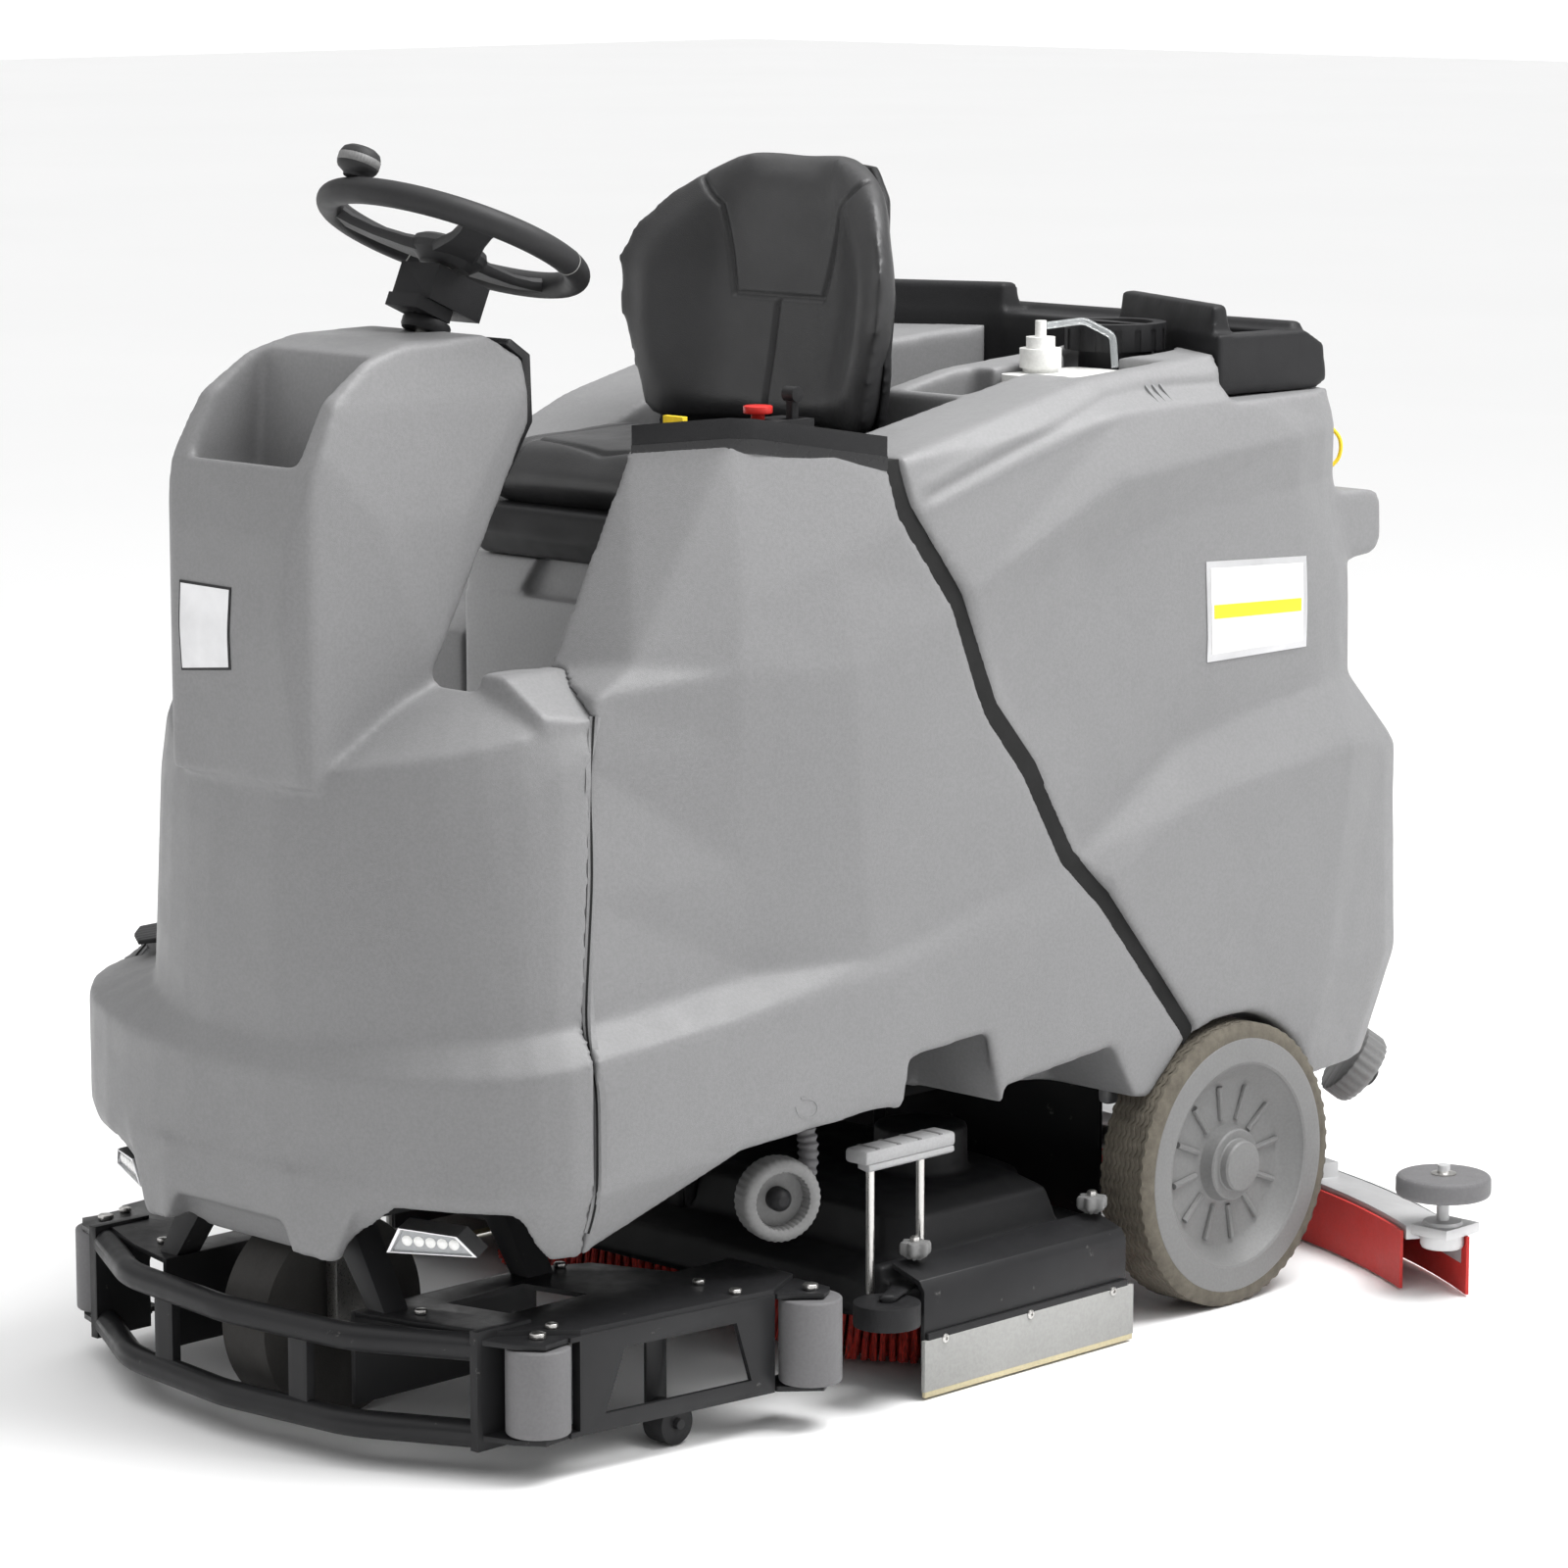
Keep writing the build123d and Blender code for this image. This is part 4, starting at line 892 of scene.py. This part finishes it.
def seat():
    """Both cushions; the backrest's seams are drawn in X and Z, the seat's in X and Y."""
    edge = [(76, 1260), (88, 1313), (100, 1367), (140, 1405), (150, 1440)]
    seams = [[(0, 1096), (0, 1256)], [(-76, 1260), (76, 1260)], edge, flipped(edge, -1)]
    stuffed("backrest_cushion", back_form(), seams, [0, 2], (0, -1, 0))
    edge = [(150, -300), (128, -230), (128, -60), (150, 0)]
    seams = [edge, flipped(edge, -1), [(-128, -232), (0, -246), (128, -232)]]
    stuffed("seat_cushion", cad_bmesh("seat_cushion"), seams, [0, 1], UP)


seat()


# ---- steering
TILT = math.radians(24)
WHEEL_C = Vector((0, -480, 1355))
AXIS = Vector((0, math.sin(TILT), math.cos(TILT)))


def on_wheel(x, y, z):
    """A point in the steering wheel's own frame."""
    return WHEEL_C + Vector((x, 0, 0)) + Vector((0, math.cos(TILT), -math.sin(TILT))) * y + AXIS * z


def steering():
    ring_r, bar_r = 149.5, 15.5
    bm = bmesh.new()
    rows = []
    for i in range(96):
        turn = 2 * math.pi * i / 96
        row = []
        for k in range(24):
            around = 2 * math.pi * k / 24
            r = ring_r + bar_r * math.cos(around)
            row.append(bm.verts.new(on_wheel(r * math.cos(turn), r * math.sin(turn),
                                             bar_r * math.sin(around)) * MM))
        rows.append(row)
    for low, high in zip(rows, rows[1:] + rows[:1]):
        for k in range(24):
            j = (k + 1) % 24
            bm.faces.new((low[k], low[j], high[j], high[k]))
    for turn in (90, 210, 330):
        t = math.radians(turn)
        along, across = (math.cos(t), math.sin(t)), (-math.sin(t), math.cos(t))
        rings = []
        for r, z, half, thick in ((20, -20, 30, 9), (50, -19, 26, 7.5), (90, -15, 21, 6.5),
                                  (120, -9, 20, 7), (146, -1, 24, 9)):
            shape = [(-1, -0.4), (-0.85, -1), (0.85, -1), (1, -0.4), (1, 0.4), (0.8, 1), (-0.8, 1),
                     (-1, 0.4)]
            rings.append([on_wheel(along[0] * r + across[0] * half * u, along[1] * r + across[1] * half * u,
                                   z + thick * v) for u, v in shape])
        add_loft(bm, rings)
    from_bmesh("steering_rim", bm, "wheel_grip", "steering", ("steering_wheel",), 40)
    turned("steering_hub", [(0, -36), (30, -36), (34, -32), (44, -24), (46, -16), (43, -9), (36, -5),
                            (33, -5), (32, -6.5), (0, -6)], WHEEL_C, AXIS, "wheel_grip", "steering")
    for k, turn in enumerate((22, 158)):
        t = math.radians(turn)
        spot = on_wheel(ring_r * math.cos(t), ring_r * math.sin(t), 0)
        way = on_wheel(-math.sin(t), math.cos(t), 0) - WHEEL_C
        turned("rim_joint_%d" % k, [(15.7, -0.8), (15.75, 0.8)], spot, way, "skirt_grey", "steering",
               segments=32)
    turn = math.radians(-10)
    foot = on_wheel(ring_r * math.sin(turn), -ring_r * math.cos(turn), bar_r)
    turned("knob_cap", [(0, 0.4), (13, 0.4), (14, 4), (22, 9), (24, 12), (24.4, 14.5), (24.4, 25), (24, 27),
                        (21.5, 32), (16, 35.5), (8, 37), (0, 37)], foot, AXIS, "wheel_grip",
           "steering_grip", ("steering_knob",), angle=30)
    turned("knob_band", [(24.2, 14.5), (25, 15), (25, 24.5), (24.2, 25)], foot, AXIS, "rim_grey",
           "steering_grip", segments=120, lobes=40, depth=0.7, angle=60)
    turned("head_collar", [(20, -116), (27, -116), (29, -112), (29, -104), (27, -101), (20, -101)], WHEEL_C,
           AXIS, "black_plastic", "machine")


steering()


# ---- wheels
REAR_X, REAR_Y, REAR_R = 380, 408, 180


def rear_wheel(name, side):
    """A wheel disc with ribs, and a tyre with zigzag grooves round it."""
    centre, axis = (side * REAR_X, REAR_Y, REAR_R), (side, 0, 0)
    node = "_" + name
    body = "rear_wheel" + node
    turned("wheel_disc" + node,
           [(16, 0), (34, 0), (36, 30), (125, 34), (136, 4), (150, 2), (163, 6), (166, 12), (166, 70),
            (164, 77), (160, 80.5), (156, 81.5), (131, 81.5), (128, 80), (126, 76), (108, 60), (104, 57.5),
            (98, 56.5), (54, 56), (49, 58), (46, 64), (45, 74), (43, 76), (34, 76), (32.5, 77.5),
            (32, 86), (30, 88.5), (26, 89.5), (0, 90)], centre, axis, "rim_grey", body,
           ("rear_rim" + node,), segments=128, angle=25)
    for k in range(12):
        t = math.radians(30 * k + 8)
        a = Vector((side * 436.5, REAR_Y + 56 * math.cos(t), REAR_R + 56 * math.sin(t)))
        b = Vector((side * 438.5, REAR_Y + 100 * math.cos(t), REAR_R + 100 * math.sin(t)))
        tube("wheel_rib_%s_%d" % (name, k), [a, a.lerp(b, 0.5), b], 4.2, "rim_grey", body, segments=8)
    bm = bmesh.new()
    rings = []
    profile = [(150, 0.5), (166, 1), (172, 3), (177.5, 8)]
    for groove in range(9):
        h = 9 + 7.6 * groove
        profile += [(179.8, h), (179.8, h + 4.4), (177.9, h + 5.0), (177.9, h + 7.0)]
    profile = profile[:-2] + [(177.5, 76), (172, 79), (167, 80.2), (160, 80)]
    for radius, height in profile:
        ring = []
        for i in range(240):
            t = 2 * math.pi * i / 240
            zig = 1.6 * (1 if (i // 2) % 2 else -1) if 178.5 > radius > 177.8 or radius > 179 else 0
            ring.append(Vector((side * (REAR_X + height + zig), REAR_Y + radius * math.cos(t),
                                REAR_R + radius * math.sin(t))))
        rings.append(ring)
    add_loft(bm, rings + rings[:1], capped=False)
    from_bmesh("tyre" + node, bm, "tread", body, ("rear_tyre" + node,), 25)


for name, side in SIDES:
    rear_wheel(name, side)


# ---- brushes and deck
BRUSH_X, BRUSH_Y = 232, 70
# rings of tufts: radius and how many
TUFTS = ((192, 120), (182, 110), (168, 90), (150, 70), (128, 56), (104, 44))


def brush(name, side):
    """A disc brush: its plate and the tufts under it."""
    rng = random.Random(11)
    body = "brush_" + name
    centre = Vector((side * BRUSH_X, BRUSH_Y, 0))
    turned("brush_plate_" + name,
           [(20, 56), (196, 56), (198, 60), (196, 78), (120, 80), (24, 80), (20, 118)],
           centre, UP, "black_plastic", body, ("brush_" + name,))
    bm = bmesh.new()
    for row, (radius, count) in enumerate(TUFTS):
        for k in range(count):
            t = 2 * math.pi * (k + 0.5 * (row % 2)) / count + rng.uniform(-0.008, 0.008)
            out = Vector((math.cos(t), math.sin(t), 0))
            lean = 13 * radius / 192 + rng.uniform(-2, 2)
            top = centre + out * radius + Vector((0, 0, 58))
            foot = centre + out * (radius + lean) + Vector((0, 0, 4.5 + rng.uniform(0, 2)))
            sway = Vector((-out.y, out.x, 0)) * rng.uniform(-3, 3)
            add_loft(bm, [circle(top, UP, 3.0, 6), circle(foot + sway, UP, 4.2, 6)])
    piece = new_piece("tufts_" + name)
    bm.to_mesh(piece.data)
    bm.free()
    shaded(piece.data)
    finished(piece, "bristle_red", body)


SKIRT_X = 475
STAR_KNOB = [(9, 0), (11, 2), (18, 6), (19.5, 9), (19.5, 18), (18, 21), (12, 22), (0, 22)]
SKIRT_SCREW = [(5.5, 0), (5.5, 2.0), (3.5, 3.2), (2.2, 3.2), (2.0, 1.5), (0, 1.5)]


def deck_side(name, side):
    """One side of the deck: star knobs and skirt, and on the left the pull grip on two chromed rods."""
    if name == "left":
        block("grip_bar", (386, 423), (-226, -72), (280, 298), "bracket_grey", "handle", ("deck_handle",),
              bevel=5)
        prism("grip_lip", [(404, 281), (423, 281), (424, 275), (420, 272), (404, 275)], "y", -222, -76,
              "bracket_grey", "handle", bevel=1)
        for k in range(4):
            y = -204 + 36 * k
            block("grip_groove_%d" % k, (388, 421), (y - 3, y + 3), (296.5, 298.4), "rim_grey", "handle",
                  bevel=0.6)
        for k, y in enumerate((-196, -110)):
            turned("grip_rod_%d" % k, [(5, 118), (5, 282)], (400, y, 0), UP, "steel", "handle",
                   segments=24)
    for k, y in enumerate((-150, 165)):
        place = (side * 430, y, 157)
        turned("star_knob_%s_%d" % (name, k), STAR_KNOB, place, UP, "rim_grey", "deck", ("star_knobs",),
               segments=72, lobes=6, depth=4.5, angle=45)
        turned("star_bolt_%s_%d" % (name, k), [(6.5, 21), (6.5, 27), (4, 28.5), (0, 28.5)], place, UP,
               "steel", "deck", segments=6)
    # side skirt: folded black plate, clamping strip, screws and worn rubber blade
    x = SKIRT_X
    fold = [(x - 8, 40), (x - 8, 128), (x - 14, 136), (x - 55, 150), (x - 55, 156), (x - 10, 142),
            (x - 2, 130), (x - 2, 40)]
    prism("skirt_plate_" + name, flipped(fold, side), "y", -180, 180, "frame_black", "deck",
          ("deck_skirts",), bevel=0.8)
    block("skirt_blade_" + name, sorted((side * (x - 2), side * (x + 4))), (-185, 188), (10, 72),
          "skirt_grey", "deck", bevel=0.8)
    block("skirt_edge_" + name, sorted((side * (x - 1.5), side * (x + 3.6))), (-184, 187), (3, 10.5),
          "worn_edge", "deck", bevel=0.8)
    block("skirt_clamp_" + name, sorted((side * (x - 2), side * (x + 3.4))), (-178, 178), (60, 80),
          "frame_black", "deck", bevel=1)
    for k, y in enumerate((-150, 0, 150)):
        turned("skirt_screw_%s_%d" % (name, k), SKIRT_SCREW, (side * (x + 3), y, 70), (side, 0, 0),
               "steel", "deck", segments=20)


for name, side in SIDES:
    brush(name, side)
    deck_side(name, side)


# ---- lamps, caps and hoses
def lamps():
    """Two headlamps in bright bezels, each with five light points behind its glass."""
    face = [Vector(p) for p in ((236, -790, 276), (302, -760, 272), (321, -746, 249), (218, -792, 245))]
    middle = sum(face, Vector()) / 4
    out = (face[1] - face[0]).cross(face[3] - face[0]).normalized()
    if out.y > 0:
        out = -out

    def stack(side, steps):
        """The lamp's outline, shrunk to each share and lifted off its face."""
        return [flipped([middle + (p - middle) * share + out * lift for p in face], side)
                for share, lift in steps]

    for name, side in SIDES:
        loft("lamp_bezel_" + name,
             stack(side, [(0.98, -30), (1.0, -2), (0.985, 1.2), (0.9, 1.6), (0.86, -1.5), (0.86, -6)]),
             "plate_silver", "machine", ("headlamps",), angle=25)
        loft("lamp_glass_" + name, stack(side, [(0.86, -6), (0.86, -2.4), (0.84, -2.0)]),
             "lamp", "machine", angle=25)
        low = (face[3] * 0.5 + face[0] * 0.5) * 0.86 + middle * 0.14
        high = (face[2] * 0.5 + face[1] * 0.5) * 0.86 + middle * 0.14
        for k in range(5):
            spot = low.lerp(high, 0.14 + 0.18 * k) + out * -2.2
            spot, way = flipped([spot, out], side)
            turned("led_%s_%d" % (name, k), [(6.4, 0), (6.4, 0.8), (4.6, 2.2), (2.4, 3.0), (0, 3.2)],
                   spot, way, "led", "machine", segments=24)


def caps():
    """The filter ring and its corrugated hose, the drain cap, and the yellow cap on its strap."""
    axis = Vector((0.93, -0.36, 0)).normalized()
    place = Vector((378, -338, 258))
    turned("filter_ring", [(35, 3), (49.8, 3), (49.8, 27), (48, 31), (44, 33.4), (38, 33.8), (35, 32),
                           (34, 26), (34, 12), (0, 12)], place, axis, "rim_grey", "machine",
           ("service_caps",), segments=144, lobes=36, depth=1.3, angle=45)
    turned("filter_nozzle", [(14, 12), (14, 24), (10, 30), (6, 33), (0, 33)], place, axis, "black_plastic",
           "machine", segments=32)
    axis = Vector((0.5, 0.62, -0.6)).normalized()
    place = Vector((324, 778, 243))
    turned("drain_cap", [(46, 6), (49.5, 8), (49.8, 34), (46, 41), (36, 44), (0, 44)], place, axis,
           "rim_grey", "machine", segments=144, lobes=24, depth=2.2, angle=45)
    turned("drain_nub", [(15, 43), (15, 50), (12, 55), (0, 56)], place, axis, "black_plastic", "machine",
           segments=32)
    line = curved([(372, -324, 262), (372, -300, 260), (371, -276, 270), (368, -268, 300),
                   (362, -268, 328)], 24)
    tube("filter_hose_tube", line, lambda t: 11.6 + 1.3 * math.sin(t * 2 * math.pi * 13), "roller_grey",
         "machine", ("filter_hose",), segments=24, angle=60)
    # yellow cap and its strap on the drain hose
    place = (250, 738, 0)
    turned("hose_cap", [(25.5, 1052), (27.4, 1053), (27.4, 1072), (25, 1075.5), (10, 1076), (0, 1076)],
           place, UP, "yellow", "machine", segments=96, lobes=24, depth=0.8, angle=45)
    strap = curved([(262, 756, 1070), (276, 778, 1072), (290, 796, 1052), (288, 796, 1024),
                    (274, 776, 1008), (258, 758, 1010)], 10)
    tube("cap_strap", strap, 2.6, "yellow", "machine", segments=10)
    turned("strap_band", [(24.5, 1003), (26.2, 1004), (26.2, 1014), (24.5, 1015)], place, UP, "yellow",
           "machine")


# the squeegee's rear face is an arc: its radius, the Y of its centre and its half width
FACE_R, FACE_Y, FACE_HALF = 1181, -346, 628


def squeegee():
    """The silver strip that holds the rear blade, and the ends and roller washers of the beam."""
    curve = curved([(x, FACE_Y + math.sqrt(FACE_R ** 2 - x ** 2), 0)
                    for x in range(FACE_HALF, -FACE_HALF - 1, -FACE_HALF // 4)], 4)
    rings = [[(p.x, p.y, 40), (p.x, p.y, 82), (p.x * 0.998, p.y - 6, 84), (p.x * 0.998, p.y - 6, 40)]
             for p in curve]
    loft("squeegee_face", rings, "silver_cast", "squeegee")
    for name, side in SIDES:
        place = (side * 610, 631, 0)
        turned("squeegee_end_" + name, [(0, 62), (26, 62), (28, 66), (28, 88), (24, 96), (0, 97)],
               place, UP, "silver_cast", "squeegee")
        turned("squeegee_washer_" + name, [(16, 156), (16, 157.6), (9, 158.6), (8, 160.5), (0, 161)],
               place, UP, "steel", "squeegee_roller_" + name, segments=32)


lamps()
caps()
squeegee()


# ---- studio
def area_light(name, place, target, size, power):
    lamp = bpy.data.lights.new(name, "AREA")
    lamp.shape, lamp.size, lamp.size_y = "RECTANGLE", size[0], size[1]
    lamp.energy = power
    made = bpy.data.objects.new(name, lamp)
    bpy.context.scene.collection.objects.link(made)
    made.location = place
    made.rotation_euler = (Vector(target) - Vector(place)).to_track_quat("-Z", "Y").to_euler()


def studio():
    """A pale floor, a sky that darkens above the horizon, and three soft lamps."""
    floor = new_piece("studio_floor")
    half = 40.0
    floor.data.from_pydata([(-half, -half, 0), (half, -half, 0), (half, half, 0), (-half, half, 0)],
                           [], [(0, 1, 2, 3)])
    ground = Nodes("studio_floor", specular=0.2)
    ground.colour(ground.ramp(ground.noise(0.4), [(0.3, (0.95, 0.95, 0.95)), (0.7, (0.97, 0.97, 0.97))]))
    ground.rough(ground.spread(ground.noise(2.0), 0.6, 0.65))
    floor.data.materials.append(ground.mat)
    world = bpy.data.worlds.new("studio")
    bpy.context.scene.world = world
    world.use_nodes = True
    sky = world.node_tree
    direction = sky.nodes.new("ShaderNodeTexCoord").outputs["Generated"]
    height = sky.nodes.new("ShaderNodeSeparateXYZ")
    sky.links.new(direction, height.inputs["Vector"])
    tone = sky.nodes.new("ShaderNodeValToRGB")
    for place, value in ((0.06, 0.8), (0.12, 0.28), (0.45, 0.28), (0.80, 1.0)):
        stop = tone.color_ramp.elements.new(place)
        stop.color = (value, value, value, 1)
    tone.color_ramp.elements[0].color = (1, 1, 1, 1)
    sky.links.new(height.outputs["Z"], tone.inputs["Fac"])
    sky.links.new(tone.outputs["Color"], sky.nodes["Background"].inputs["Color"])
    sky.nodes["Background"].inputs["Strength"].default_value = 1.4
    target = (0, 0, 0.7)
    area_light("overhead", (1.6, 1.0, 4.2), target, (2.4, 2.2), 200)
    area_light("front_left", (-3.4, -4.2, 2.0), target, (2.2, 2.2), 13)
    area_light("rear_right", (4.8, 2.2, 2.4), target, (2.2, 2.6), 26)
    bpy.context.scene.view_settings.view_transform = "Standard"


def camera():
    """The camera at the photograph's angle."""
    azimuth, elevation, distance = math.radians(44.6), math.radians(9.5), 6.715
    centre = Vector((0, 0.065, 0.650))
    away = Vector((math.sin(azimuth) * math.cos(elevation), -math.cos(azimuth) * math.cos(elevation),
                   math.sin(elevation)))
    lens = bpy.data.cameras.new("camera")
    lens.lens, lens.sensor_width = 123.3, 36.0
    made = bpy.data.objects.new("camera", lens)
    bpy.context.scene.collection.objects.link(made)
    made.location = centre + distance * away
    made.rotation_euler = (-away).to_track_quat("-Z", "Y").to_euler()
    bpy.context.scene.camera = made


studio()
camera()
